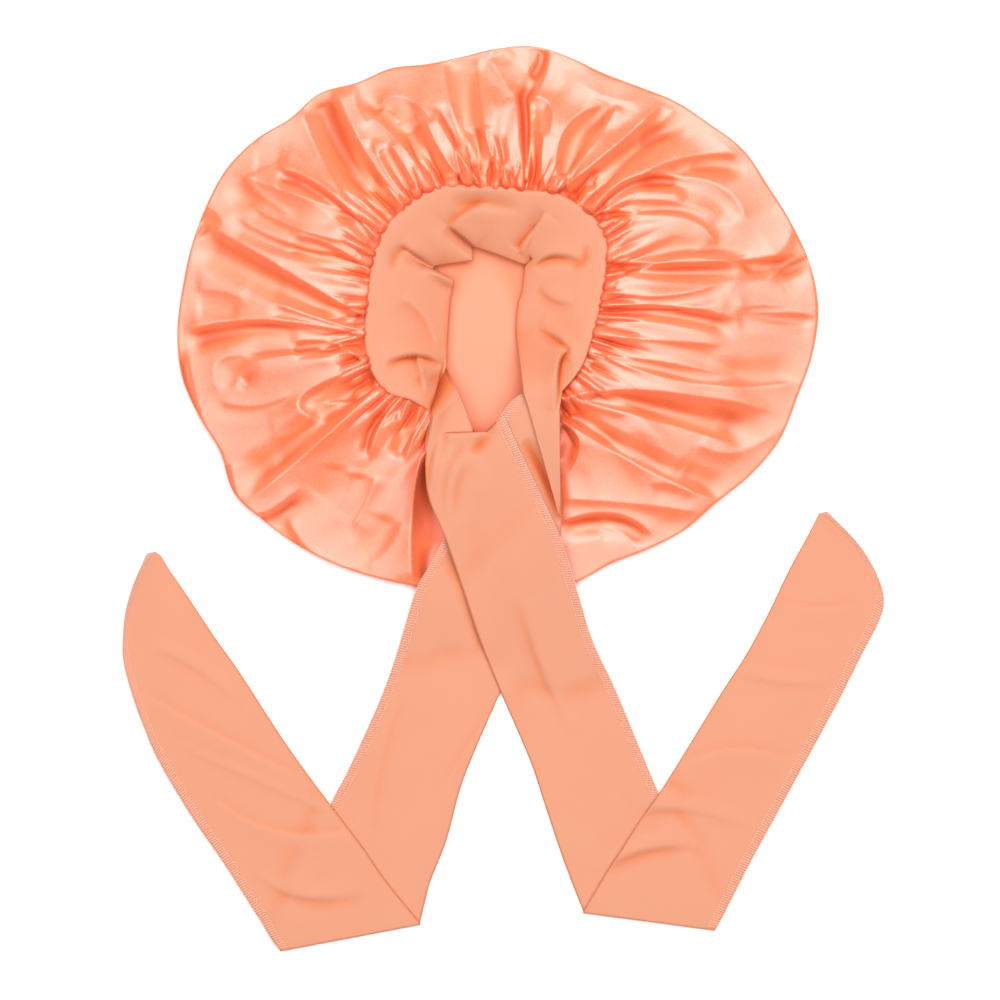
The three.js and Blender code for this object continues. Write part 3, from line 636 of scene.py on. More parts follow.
def along_table(values, place):
    """Values of a table at fractional row numbers."""
    last = len(values) - 1
    index = np.clip(np.floor(place).astype(int), 0, last - 1)
    near = [values[np.clip(index + offset, 0, last)] for offset in (-1, 0, 1, 2)]
    share = (place - index).reshape(place.shape + (1,) * (values.ndim - 1))
    return through(*near, share)


def turn_between(start, end):
    """The signed turn in degrees from one angle to another."""
    return (end - start + 540.0) % 360.0 - 180.0


# Meshes from grids of points


def grid_faces(row_count, column_count, wrap):
    """Corner numbers of the quads between the rows and columns of a grid."""
    number = np.arange(row_count * column_count).reshape(row_count, column_count)
    if wrap:
        number = np.concatenate([number, number[:, :1]], axis=1)
    corners = number[:-1, :-1], number[1:, :-1], number[1:, 1:], number[:-1, 1:]
    return np.stack(corners, axis=-1).reshape(-1, 4)


def new_piece(name, points, faces):
    """A smooth object from points in millimetres and the faces between them."""
    mesh = bpy.data.meshes.new(name)
    mesh.from_pydata((points * MM).tolist(), [], faces)
    mesh.shade_smooth()
    piece = bpy.data.objects.new(name, mesh)
    bpy.context.scene.collection.objects.link(piece)
    return piece


def cloth_object(name, grid, stitched=0):
    """A sheet of jersey from a grid of points, with its lengths as UV and painted shade marked in its
    hollows, leans, edges and stitches.
    """
    row_count, column_count = grid.shape[:2]
    faces = grid_faces(row_count, column_count, False).tolist()
    piece = new_piece(name, grid.reshape(-1, 3), faces)
    mesh = piece.data
    across = np.linalg.norm(np.diff(grid, axis=1), axis=2).mean(axis=0).cumsum()
    along = np.linalg.norm(np.diff(grid, axis=0), axis=2).mean(axis=1).cumsum()
    lengths = np.meshgrid(np.append(0.0, across), np.append(0.0, along))
    places = np.stack(lengths, axis=-1).reshape(-1, 2)
    corners = np.empty(len(mesh.loops), dtype=int)
    mesh.loops.foreach_get("vertex_index", corners)
    mesh.uv_layers.new(name="UVMap").data.foreach_set("uv", (places[corners] * MM).ravel())
    # Painted shade: in the hollows, on leaning cloth, along both edges and under the stitches
    shade = np.maximum(hollows(grid[..., 2], CREASE_SMOOTHING, False), 0.0) / CREASE_DEPTH
    shade += LEAN_SHADE * blend(lean(grid, np.gradient(grid, axis=1)) / STEEP_LEAN)
    shade = np.minimum(shade, MOST_SHADE)
    shade[:, [0, -1]] = EDGE_SHADE
    if stitched:
        shade[:, -stitched:] = STITCH_SHADE
    mark(mesh, "hollow", shade)
    return piece


def hollows(height, smoothing, wrap):
    """How far each point of a grid lies under the cloth round it, in millimetres."""
    even = height
    for axis, passes in enumerate(smoothing):
        mode = "wrap" if wrap and axis else "edge"
        border = [(1, 1) if side == axis else (0, 0) for side in (0, 1)]
        for _ in range(passes):
            wide = np.pad(even, border, mode)
            last = wide.shape[axis]
            before = np.take(wide, range(last - 2), axis)
            after = np.take(wide, range(2, last), axis)
            even = (before + 2.0 * even + after) / 4.0
    return even - height


def lean(grid, across):
    """How far the cloth at each point of a grid leans from level, from 0 to 1."""
    normal = np.cross(across, np.gradient(grid, axis=0))
    return 1.0 - np.abs(normal[..., 2]) / np.maximum(np.linalg.norm(normal, axis=-1), 1e-9)


def mark(mesh, name, values):
    """Stores one number for each point of a mesh, for its material."""
    layer = mesh.attributes.new(name, "FLOAT", "POINT")
    layer.data.foreach_set("value", np.asarray(values, dtype=np.float32).ravel())


def select_only(piece):
    """Leaves one object selected and active."""
    bpy.ops.object.select_all(action="DESELECT")
    piece.select_set(True)
    bpy.context.view_layer.objects.active = piece


def thicken(piece, wall):
    """Gives a sheet its wall, half on each side."""
    select_only(piece)
    wall_maker = piece.modifiers.new("wall", "SOLIDIFY")
    wall_maker.thickness = wall
    wall_maker.offset = 0.0
    wall_maker.use_even_offset = False
    bpy.ops.object.modifier_apply(modifier=wall_maker.name)


def settle(piece, materials):
    """Materials and body of a finished piece."""
    for material in materials:
        piece.data.materials.append(material)
    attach(piece, "root")


# Folds that the tables of the cloths give


def line_through(table, row):
    """Places along the curve through the three places of a fold."""
    part = np.linspace(0.0, 1.0, CREASE_STEPS)
    places = []
    for axis in "xy":
        start, middle, end = (table[axis + number][row] for number in "123")
        places.append(start * (1.0 - part) * (1.0 - 2.0 * part) + middle * 4.0 * part * (1.0 - part)
                      + end * part * (2.0 * part - 1.0))
    return places


def nearest_on(line_x, line_y, x, y):
    """How far places lie to the left of a line, and at what share of it."""
    least = np.full(x.shape, np.inf)
    aside = np.zeros_like(x)
    place = np.zeros_like(x)
    for step in range(len(line_x) - 1):
        along = np.array([line_x[step + 1] - line_x[step], line_y[step + 1] - line_y[step]])
        off_x = x - line_x[step]
        off_y = y - line_y[step]
        share = np.clip((off_x * along[0] + off_y * along[1]) / (along @ along), 0.0, 1.0)
        far = np.hypot(off_x - share * along[0], off_y - share * along[1])
        side = np.where(along[0] * off_y - along[1] * off_x > 0, 1.0, -1.0)
        nearer = far < least
        least = np.where(nearer, far, least)
        aside = np.where(nearer, far * side, aside)
        place = np.where(nearer, (step + share) / (len(line_x) - 1), place)
    return aside, place


def near_line(line_x, line_y, x, y, reach):
    """Which places lie in the box round a line."""
    near = (x > line_x.min() - reach) & (x < line_x.max() + reach)
    return near & (y > line_y.min() - reach) & (y < line_y.max() + reach)


def crease_relief(x, y, table, turn):
    """Height that the folds of a jersey table add at places on the cloth, in millimetres."""
    relief = np.zeros_like(x)
    for row in range(len(table["x1"])):
        line_x, line_y = line_through(table, row)
        widths = table["left_width"][row], table["right_width"][row]
        near = near_line(line_x, line_y, x, y, CREASE_REACH * max(widths))
        aside, place = nearest_on(line_x, line_y, x[near], y[near])
        left = table["left"][row] * np.exp(-(aside / widths[0]) ** 2)
        right = table["right"][row] * np.exp(-(aside / widths[1]) ** 2)
        turned = blend(aside / turn + 0.5)
        relief[near] += (right + (left - right) * turned) * np.sin(np.pi * place) ** FULLNESS
    return relief


# The crown's satin


def from_seam(x, y):
    """How far a place lies outside the seam, in millimetres."""
    angle = np.degrees(np.arctan2(y - CROWN_Y, x - CROWN_X))
    return np.hypot(x - CROWN_X, y - CROWN_Y) - around_table(SECTIONS["seam"], angle)


def satin_relief(x, y):
    """Height of the measured folds over the plain crown, in millimetres."""
    relief = np.zeros_like(x)
    away = from_seam(x, y)
    table = dict(SATIN_FOLDS)
    for number in "123":
        table["x" + number] = (SATIN_FOLDS["x" + number] - PHOTO_MIDDLE_X) * PHOTO_SCALE
        table["y" + number] = (PHOTO_MIDDLE_Y - SATIN_FOLDS["y" + number]) * PHOTO_SCALE
    for row in range(len(table["x1"])):
        line_x, line_y = line_through(table, row)
        rise, drop = table["rise"][row], table["drop"][row]
        rise_width, drop_width = table["rise_width"][row], table["drop_width"][row]
        reach = GENTLE_REACH * FAN_WIDE * max(rise_width, drop_width)
        near = near_line(line_x, line_y, x, y, reach)
        aside, place = nearest_on(line_x, line_y, x[near], y[near])
        out = np.clip(away[near] / FAN_REACH, 0.0, 1.0)
        fan_width = FAN_NARROW + (FAN_WIDE - FAN_NARROW) * out
        fan_depth = FAN_DEEP + (FAN_LOW - FAN_DEEP) * out
        up = np.maximum(aside, 0.0) / (rise_width * fan_width)
        gentle = rise * np.exp(-up) * (1.0 - blend(up / GENTLE_REACH))
        down = np.maximum(-aside, 0.0) / (drop_width * fan_width)
        steep = (rise + drop) * np.exp(-STEEP_FALL * down) * (1.0 - blend(down / STEEP_REACH))
        steep -= drop * (1.0 - blend((down - 1.0) / DROP_FADE))
        starts_at_seam, ends_at_seam = from_seam(line_x[[0, -1]], line_y[[0, -1]]) < SEAM_REACH
        ends = np.maximum(blend(place / FOLD_START), starts_at_seam)
        ends = ends * np.maximum(blend((1.0 - place) / FOLD_END), ends_at_seam)
        relief[near] += np.where(aside > 0, gentle, steep) * ends * fan_depth
    return relief


def seam_gathers():
    """Where each small gather at the seam starts, and its height and length."""
    chance = np.random.default_rng(11)
    round_seam = 2.0 * math.pi * SECTIONS["seam"].mean()
    width = chance.uniform(*GATHER_WIDTH, int(round_seam / np.mean(GATHER_WIDTH)))
    starts = np.append(0.0, np.cumsum(width)[:-1]) * 360.0 / width.sum()
    height = chance.uniform(*GATHER_HEIGHT, len(width))
    length = chance.uniform(*GATHER_LENGTH, len(width))
    return starts, height, length


def gather_relief(angle, away):
    """Height of the small rounded gathers, and how far each leans over the seam."""
    starts, heights, lengths = seam_gathers()
    index = np.searchsorted(starts, angle, side="right") - 1
    ends = np.append(starts[1:], 360.0)
    across = 2.0 * (angle - starts[index]) / (ends[index] - starts[index]) - 1.0
    along = away / lengths[index]
    narrow = GATHER_NARROW + GATHER_TAPER * along
    finger = np.sqrt(np.maximum(0.0, 1.0 - (across * narrow) ** 2))
    near = blend(away / GATHER_RISE) * (1.0 - blend((along - GATHER_WHOLE) / (1.0 - GATHER_WHOLE)))
    over = GATHER_LEAN * finger * blend(away / LEAN_START)
    over = over * (1.0 - blend((away - LEAN_START) / LEAN_FADE))
    return heights[index] * near * (finger - GATHER_SINK), over


def pucker_relief(angle, away):
    """Longer gathers behind the small ones."""
    turn = np.radians(angle)
    wander = sum(size * np.sin(count * turn + start) for size, count, start in WANDER)
    relief = np.zeros_like(away * turn)
    for count, height, peak, fade, seed in LONG_GATHERS:
        uneven = sum(size * np.sin(count * pace * turn + start * seed) for size, pace, start in UNEVEN)
        reach = fade * (1.0 + UNEVEN_REACH * uneven)
        near = blend(away / peak) * (1.0 - blend((away - peak) / reach))
        lobe = np.abs(np.sin(0.5 * count * turn + WANDER_TURN * wander + UNEVEN_TURN * uneven + seed))
        relief += height * (1.0 + UNEVEN_HEIGHT * uneven) * near * (lobe - GATHER_MIDDLE)
    return relief


def drift_relief(angle, share):
    """Low swells between the folds, long from seam to rim and irregular round the crown."""
    turn = np.radians(angle)
    relief = np.zeros_like(share * turn)
    for count, height, slant, seed in SWELLS:
        bent = count * (turn + slant * share) + SWELL_BEND * np.sin(SWELL_WAVE * share + 2.0 * seed)
        size = 0.5 + 0.5 * np.sin(SIZE_PACE * count * turn + SIZE_WAVE * share + seed)
        relief += height * size * np.sin(bent + seed)
    return relief * np.sin(np.pi * np.clip(share, 0.0, 1.0)) ** FULLNESS


def crown_top(settings):
    """Grid of the satin's upper side from the seam to the rim's lowest line, in millimetres."""
    angle = np.arange(settings.columns) * 360.0 / settings.columns
    seam = around_table(SECTIONS["seam"], angle)
    puff = around_table(SECTIONS["puff"], angle)
    lift = around_table(SECTIONS["lift"], angle)
    rim = around_table(RIM, angle)
    half = settings.rim_height / MM
    width = settings.rim_round / MM
    start = math.radians(RIM_START)
    share = (np.linspace(0.0, 1.0, settings.rows) ** ROW_CROWDING)[:, None]
    inner = seam - SEAM_TUCK
    outer = rim - width + width * math.cos(start)
    radius = inner + (outer - inner) * share
    away = radius - inner
    turn = np.radians(angle)
    low = lift - SEAM_DROP
    plain = low + (half * (1.0 + math.sin(start)) - low) * share
    beside = np.abs(turn_between(angle, PRESSED_ANGLE)) - PRESSED_TURN
    pressed = PRESSED_RELIEF + (1.0 - PRESSED_RELIEF) * blend(beside / PRESSED_FADE)
    gathers, over = gather_relief(angle, away)
    folds = satin_relief(CROWN_X + radius * np.cos(turn), CROWN_Y + radius * np.sin(turn))
    relief = folds * blend(away / SEAM_SMOOTH) + pucker_relief(angle[None, :], away)
    relief = (relief + drift_relief(angle[None, :], share) + gathers) * pressed
    radius = radius - over * pressed
    height = plain + puff * PUFF_SHARE * PUFF_CURVE * share * (1.0 - share) ** 2 + relief
    arc = np.radians(np.linspace(RIM_START, -90.0, RIM_ROWS + 1)[1:])[:, None]
    kept = np.maximum(0.0, np.sin(arc)) / math.sin(start)
    radius = np.concatenate([radius, rim - width + width * np.cos(arc)])
    height = np.concatenate([height, half * (1.0 + np.sin(arc)) + kept * relief[-1]])
    least = LEAST_HEIGHT * np.append(np.ones(settings.rows), kept[:, 0])
    height = np.maximum(height, least[:, None])
    return np.stack([CROWN_X + radius * np.cos(turn), CROWN_Y + radius * np.sin(turn), height], axis=-1)


def crown_lining(top, settings):
    """Coarser grid of the satin's wrong side, everywhere inside the outer side."""
    low = top[:settings.rows, :, 2]
    around = low.copy()
    for shift in range(1, LINING_STEP + 1):
        around = np.minimum(around, np.minimum(np.roll(low, shift, 1), np.roll(low, -shift, 1)))
    lowest = around.copy()
    for shift in range(1, LINING_STEP + 1):
        lowest[shift:] = np.minimum(lowest[shift:], around[:-shift])
        lowest[:-shift] = np.minimum(lowest[:-shift], around[shift:])
    lining = top[:settings.rows - LINING_STEP].copy()
    wall = settings.wall / MM
    lining[..., 2] = np.maximum(lowest[:len(lining)] - wall, 2.0 * wall)
    lining = lining[::LINING_STEP, ::LINING_STEP]
    middle = np.array([CROWN_X, CROWN_Y, wall])
    edge = lining[-1] * [1.0, 1.0, 0.0] + [0.0, 0.0, wall]
    floor = np.stack([middle + (edge - middle) * share for share in FLOOR_SHARES])
    floor[..., 2] += INSIDE_RISE * blend((FLOOR_EDGE - FLOOR_SHARES) / FLOOR_FADE)[:, None]
    return np.concatenate([lining, floor])


def fan(ring_start, count, centre):
    """Triangles from a closed ring of points to its centre."""
    return [(ring_start + column, centre, ring_start + (column + 1) % count) for column in range(count)]


def crown_mesh(settings):
    """Points and faces of the pouch, how many faces are its right side, and its upper side."""
    top = crown_top(settings)
    edge = top[-1]
    middle = np.array([CROWN_X, CROWN_Y, 0.0])
    underside = np.stack([middle + (edge - middle) * share for share in UNDERSIDE_SHARES])
    outer = np.concatenate([top, underside])
    inner = crown_lining(top, settings)
    count, coarse = outer.shape[1], inner.shape[1]
    first = outer.shape[0] * count
    centre = first + inner.shape[0] * coarse
    faces = grid_faces(len(outer), count, True).tolist() + fan(first - count, count, centre)
    right_side = len(faces)
    faces += (grid_faces(len(inner), coarse, True)[:, ::-1] + first).tolist()
    faces += [face[::-1] for face in fan(centre - coarse, coarse, centre + 1)]
    for column in range(coarse):
        seam = [(column * LINING_STEP + step) % count for step in range(LINING_STEP + 1)]
        faces.append(seam + [first + (column + 1) % coarse, first + column])
    middles = [middle, middle + [0.0, 0.0, settings.wall / MM + INSIDE_RISE]]
    points = np.concatenate([outer.reshape(-1, 3), inner.reshape(-1, 3), middles])
    return points, faces, right_side, top


# What the jersey is laid on


def painted_tuck_shade(x, y):
    """Painted shade beside the ties, where the satin looks tucked in, from 0 to 1."""
    depth = np.zeros_like(x)
    for row in range(len(TUCK_SHADES["x1"])):
        line_x, line_y = line_through(TUCK_SHADES, row)
        width = TUCK_SHADES["width"][row]
        near = near_line(line_x, line_y, x, y, TUCK_SHADE_REACH * width)
        aside, place = nearest_on(line_x, line_y, x[near], y[near])
        inside = np.sqrt(np.maximum(np.sin(np.pi * place), 0.0))
        depth[near] = np.maximum(depth[near], TUCK_SHADES["depth"][row] * np.exp(-(aside / width) ** 2) * inside)
    return depth


def crown_painted_shade(top):
    """Painted shade of each point of the satin's upper side: in narrow gaps, wide valleys, beside the ties
    and at the seam.
    """
    height = top[..., 2]
    away = from_seam(top[..., 0], top[..., 1])
    steep = blend(lean(top, np.roll(top, -1, axis=1) - np.roll(top, 1, axis=1)) / STEEP_LEAN)
    deepest = hollows(height, VALLEY_SMOOTHING, True)
    near_seam = 1.0 + SEAM_DEEPER * (1.0 - blend(away / SEAM_REACH))
    # Painted shade in narrow gaps, deeper near the seam and on steep cloth, and in the deepest valleys
    gap = hollows(height, GAP_SMOOTHING, True) / GAP_DEPTH * near_seam
    gap = gap * (GAP_LEVEL + (1.0 - GAP_LEVEL) * steep)
    gap = np.maximum(gap, 0.0) + (0.3 + 0.4 * steep) * np.maximum(deepest / DEEP_VALLEY - 1.0, 0.0)
    # Painted shade beside the ties, where the satin looks tucked in
    gap = np.maximum(np.minimum(gap, 1.0), painted_tuck_shade(top[..., 0], top[..., 1]))
    # A painted dark line of shade along the seam
    gap = np.maximum(gap, SEAM_SHADE * (1.0 - blend(away / SEAM_LINE)))
    # Painted shade in wide valleys, more on steep cloth
    valley = np.clip(deepest / VALLEY_DEPTH, 0.0, 1.0) * (VALLEY_LEVEL + (1.0 - VALLEY_LEVEL) * steep)
    return {"gap": gap, "valley": valley}


class Cover:
    """Highest cloth over each small square of the floor, in millimetres."""

    half = 340.0
    cell = 2.0

    def __init__(self):
        self.count = int(2 * self.half / self.cell)
        self.heights = np.zeros((self.count, self.count))

    def add(self, points):
        """Takes in the points of a laid cloth."""
        flat = points.reshape(-1, 3)
        column = ((flat[:, 0] + self.half) / self.cell).astype(int)
        row = ((flat[:, 1] + self.half) / self.cell).astype(int)
        for up in (0, 1):
            for right in (0, 1):
                np.maximum.at(self.heights, (row + up, column + right), flat[:, 2])

    def draped(self, x, y, slope, soft):
        """The surface that a cloth takes over places, no steeper than slope, then smoothed."""
        column = np.clip(((x + self.half) / self.cell).astype(int), 1, self.count - 2).ravel()
        row = np.clip(((y + self.half) / self.cell).astype(int), 1, self.count - 2).ravel()
        under = np.zeros_like(self.heights)
        for up in (-1, 0, 1, 2):
            for right in (-1, 0, 1, 2):
                under[row + up, column + right] = 1.0
        spread = self.heights * under
        for _ in range(int(spread.max() / (slope * self.cell))):
            for up, right in ((0, 1), (0, -1), (1, 0), (-1, 0), (1, 1), (1, -1), (-1, 1), (-1, -1)):
                drop = slope * self.cell * math.hypot(up, right)
                np.maximum(spread, np.roll(spread, (up, right), (0, 1)) - drop, out=spread)
        amount = spread * under
        weight = under.copy()
        for _ in range(int(round(soft / self.cell))):
            for axis in (0, 1):
                amount = (np.roll(amount, 1, axis) + 2.0 * amount + np.roll(amount, -1, axis)) / 4.0
                weight = (np.roll(weight, 1, axis) + 2.0 * weight + np.roll(weight, -1, axis)) / 4.0
        return amount / np.maximum(weight, 1e-6)

    def height(self, field, x, y):
        """Height of a surface at places between the squares' corners."""
        column = (x + self.half) / self.cell
        row = (y + self.half) / self.cell
        left = np.floor(column).astype(int)
        low = np.floor(row).astype(int)
        right = column - left
        up = row - low
        below = field[low, left] * (1 - right) + field[low, left + 1] * right
        above = field[low + 1, left] * (1 - right) + field[low + 1, left + 1] * right
        return below * (1 - up) + above * up


COVER = Cover()


# The ties


def tie_edges(table, step):
    """Both edges of a tie, row by row, with even steps along it."""
    edges = np.stack([table[name] for name in TIE_NAMES.split()], axis=-1)
    steps = [np.linalg.norm(np.diff(edges[:, side], axis=0), axis=1) for side in ([0, 1], [2, 3])]
    lengths = (steps[0] + steps[1]) / 2.0
    counts = np.maximum(1, np.round(lengths / step)).astype(int)
    places = [index + np.arange(count) / count for index, count in enumerate(counts)]
    return along_table(edges, np.concatenate(places + [[len(edges) - 1.0]]))


def laid_run(table, folds, settings, soft, dip=0.0):
    """Grid of one run of a tie, laid on all that is there already."""
    edges = tie_edges(table, settings.row_step / MM)
    share = np.linspace(0.0, 1.0, settings.columns)[None, :]
    x = edges[:, 0:1] + (edges[:, 2:3] - edges[:, 0:1]) * share
    y = edges[:, 1:2] + (edges[:, 3:4] - edges[:, 1:2]) * share
    first_rows = np.exp(-np.arange(len(y)) / DIP_ROWS)[:, None]
    y = y - dip * np.interp(share, DIP_SHARES, DIP_DEPTHS) * first_rows
    under = COVER.height(COVER.draped(x, y, settings.slope, soft), x, y)
    wall = settings.wall / MM
    height = under + settings.lift / MM * np.minimum(1.0, under) + wall / 2.0
    height = np.maximum(height + crease_relief(x, y, folds, TIE_TURN), wall / 2.0)
    return np.stack([x, y, height], axis=-1)


def tie_grids(first_table, second_table, folds, dip, start, settings):
    """Grids of a tie's first run and of its run back, with the fold between them."""
    first = laid_run(first_table, folds, settings, FIRST_RUN_SOFT, dip)
    rows_in = np.arange(len(first))
    rise = np.interp(rows_in, np.arange(len(start)), start, right=0.0) if start else np.zeros(len(first))
    sink = -START_SINK * (1.0 - blend(rows_in / START_ROWS))
    share = np.linspace(0.0, 1.0, settings.columns)
    shown = blend((share - SHOWN_FROM) / SHOWN_FADE) * (1.0 if start else 0.0)
    first[..., 2] += rise[:, None] * shown + sink[:, None] * (1.0 - shown)
    COVER.add(first + [0.0, 0.0, settings.wall / MM / 2.0])
    second = laid_run(second_table, folds, settings, SECOND_RUN_SOFT)
    crease = first[-1]
    back = second[0]
    along = crease[-1] - crease[0]
    outward = np.array([along[1], -along[0], 0.0])
    outward /= np.linalg.norm(outward)
    if outward[1] > 0:
        outward = -outward
    middle = (crease[:, 2] + back[:, 2]) / 2.0
    reach = (back[:, 2] - crease[:, 2]) / 2.0
    turns = []
    for angle in np.radians(TURN_ANGLES):
        turned = crease + outward * (reach * math.cos(angle))[:, None]
        turned[:, 2] = middle + reach * math.sin(angle)
        turns.append(turned)
    COVER.add(second + [0.0, 0.0, settings.wall / MM / 2.0])
    return first, np.stack(turns), second


# The overlocked edge


def stitch_paths(settings):
    """The threads of one stitch: along the edge, in from it and up, in millimetres."""
    step = settings.pitch / MM
    deep = settings.width / MM
    thick = settings.thread / MM
    across = [(0.0, -0.6 * thick, -0.8 * thick), (0.0, 0.2, 0.5 * thick), (0.1, 0.5 * deep, 0.9 * thick),
              (0.3, deep, 0.4 * thick)]
    outer = [(-0.5 * step, -0.2 * thick, 0.1), (0.0, -0.8 * thick, 0.2), (0.5 * step, -0.2 * thick, 0.1)]
    needle = [(-0.42 * step, deep, 0.4 * thick), (0.0, deep + 0.2, 0.8 * thick),
              (0.42 * step, deep, 0.4 * thick)]
    return across, outer, needle


def thread_tube(path, radius):
    """Points and faces of a closed square-sided thread along a short path."""
    path = np.array(path)
    along = np.gradient(path, axis=0)
    along /= np.linalg.norm(along, axis=1, keepdims=True)
    side = np.cross(along, [0.0, 0.0, 1.0])
    side /= np.linalg.norm(side, axis=1, keepdims=True)
    up = np.cross(side, along)
    ring = [path + radius * corner for corner in (side, up, -side, -up)]
    points = np.stack(ring, axis=1).reshape(-1, 3)
    faces = []
    for row in range(len(path) - 1):
        for corner in range(4):
            here = 4 * row + corner
            beside = 4 * row + (corner + 1) % 4
            faces.append((here, beside, beside + 4, here + 4))
    last = 4 * (len(path) - 1)
    return points, faces + [(3, 2, 1, 0), (last, last + 1, last + 2, last + 3)]


def stitched_edge(runs, wall, settings):
    """Points and faces of all the stitches along the last column of each run."""
    parts = [thread_tube(path, settings.thread / MM / 2.0) for path in stitch_paths(settings)]
    stitch = np.concatenate([points for points, _ in parts])
    starts = np.cumsum([0] + [len(points) for points, _ in parts])
    stitch_faces = np.concatenate([np.array(faces) + start for (_, faces), start in zip(parts, starts)])
    all_points = []
    for run in runs:
        edge = run[:, -1]
        inward = run[:, -4] - edge
        inward /= np.linalg.norm(inward, axis=1, keepdims=True)
        along = np.gradient(edge, axis=0)
        along /= np.linalg.norm(along, axis=1, keepdims=True)
        up = np.cross(along, inward)
        up *= np.sign(up[:, 2:3]) / np.linalg.norm(up, axis=1, keepdims=True)
        length = np.append(0.0, np.linalg.norm(np.diff(edge, axis=0), axis=1).cumsum())
        places = np.arange(1.0, length[-1] - 1.0, settings.pitch / MM)
        frame_at = [np.stack([np.interp(places, length, part[:, axis]) for axis in range(3)], axis=-1)
                    for part in (edge + up * wall / 2.0, along, inward, up)]
        centre, along, inward, up = (part[:, None, :] for part in frame_at)
        points = centre + along * stitch[:, 0:1] + inward * stitch[:, 1:2] + up * stitch[:, 2:3]
        all_points.append(points.reshape(-1, 3))
    points = np.concatenate(all_points)
    count = len(points) // len(stitch)
    faces = (stitch_faces[None] + np.arange(count)[:, None, None] * len(stitch)).reshape(-1, 4)
    return points, faces


# The head band


def band_grid(settings):
    """Grid of the band, from under the left tie round to the right one."""
    wall = settings.wall / MM
    count = len(BAND_EDGE["seam"])
    place = np.linspace(0.0, count - 1.0, (count - 1) * BAND_ROWS + 1)
    turns = turn_between(BAND_EDGE["seam"][:-1], BAND_EDGE["seam"][1:])
    angle = along_table(BAND_EDGE["seam"][0] + np.append(0.0, turns.cumsum()), place)
    lift = around_table(SECTIONS["lift"], angle)
    radius = around_table(SECTIONS["seam"], angle)
    turn = np.radians(angle)
    inner_edge = np.stack([BAND_EDGE[name] for name in ("x", "y", "inner")], axis=-1)
    inner = along_table(inner_edge, place)
    index = np.floor(np.clip(place, 0, count - 2)).astype(int)
    part = (place - index)[:, None]
    straight = inner_edge[index] + (inner_edge[index + 1] - inner_edge[index]) * part
    pleated = along_table(BAND_EDGE["depth"], place)[:, None]
    inner = inner + (straight - inner) * np.clip(pleated, 0.0, 1.0) * PLEAT_STRAIGHT
    even = inner.copy()
    for _ in range(EVEN_PASSES):
        even[1:-1] = (even[:-2] + 2.0 * even[1:-1] + even[2:]) / 4.0
    share = np.linspace(0.0, 1.0, settings.columns)[None, :, None]
    outer_x = CROWN_X + (radius + SEWN_PAST) * np.cos(turn)
    outer_y = CROWN_Y + (radius + SEWN_PAST) * np.sin(turn)
    outer = np.stack([outer_x, outer_y, lift + SEWN_PAST], axis=-1)
    base = outer[:, None, :] + (even[:, None, :] - outer[:, None, :]) * share
    pleat = blend((share - PLEAT_START) / (1.0 - PLEAT_START)) ** PLEAT_GROWTH
    grid = base + (inner - even)[:, None, :] * pleat
    edge = 1.0 - blend(share[..., 0] / SEWN_EDGE)
    grid[..., 2] += BAND_SWELL * np.sin(np.pi * share[..., 0] ** SWELL_SKEW) - SEWN_DROP * edge
    left = band_end(BAND_LEFT_END, settings)
    right = band_end(BAND_RIGHT_END, settings)
    right_x, right_y = right[..., 0], right[..., 1]
    laid = COVER.height(COVER.draped(right_x, right_y, settings.slope, BAND_SOFT), right_x, right_y)
    right[..., 2] = np.maximum(right[..., 2], laid + wall + settings.lift / MM)
    climb = np.maximum(right[0, :, 2] - grid[-1, :, 2], 0.0)
    grid[-CLIMB_ROWS:, :, 2] += climb * blend(np.linspace(0.0, 1.0, CLIMB_ROWS))[:, None]
    band = np.concatenate([left, grid, right])
    band[..., 2] += crease_relief(band[..., 0], band[..., 1], BAND_FOLDS, BAND_TURN)
    return band


def band_end(table, settings):
    """Rows of the band where it leaves the seam and turns into a tie."""
    last = len(table["outer"]) - 1
    place = np.linspace(0.0, float(last), last * END_ROWS + 1)
    outer = np.stack([along_table(table[name], place) for name in ("outer_x", "outer_y", "outer")], axis=-1)
    inner = np.stack([along_table(table[name], place) for name in ("inner_x", "inner_y", "inner")], axis=-1)
    share = np.linspace(0.0, 1.0, settings.columns)[None, :, None]
    grid = outer[:, None, :] + (inner - outer)[:, None, :] * share
    grid[..., 2] += BAND_SWELL * np.sin(np.pi * share[..., 0])
    return grid


# Shader maths


class Sum:
    """A socket of a node tree that takes part in Python arithmetic."""

    def __init__(self, shader, socket):
        self.shader = shader
        self.socket = socket

    def _join(self, operation, first, second):
        return self.shader.node("ShaderNodeMath", {"operation": operation}, {0: first, 1: second})

    def __add__(self, other):
        return self._join("ADD", self, other)

    def __radd__(self, other):
        return self._join("ADD", other, self)

    def __sub__(self, other):
        return self._join("SUBTRACT", self, other)

    def __rsub__(self, other):
        return self._join("SUBTRACT", other, self)

    def __mul__(self, other):
        return self._join("MULTIPLY", self, other)

    def __rmul__(self, other):
        return self._join("MULTIPLY", other, self)

    def __pow__(self, other):
        return self._join("POWER", self, other)


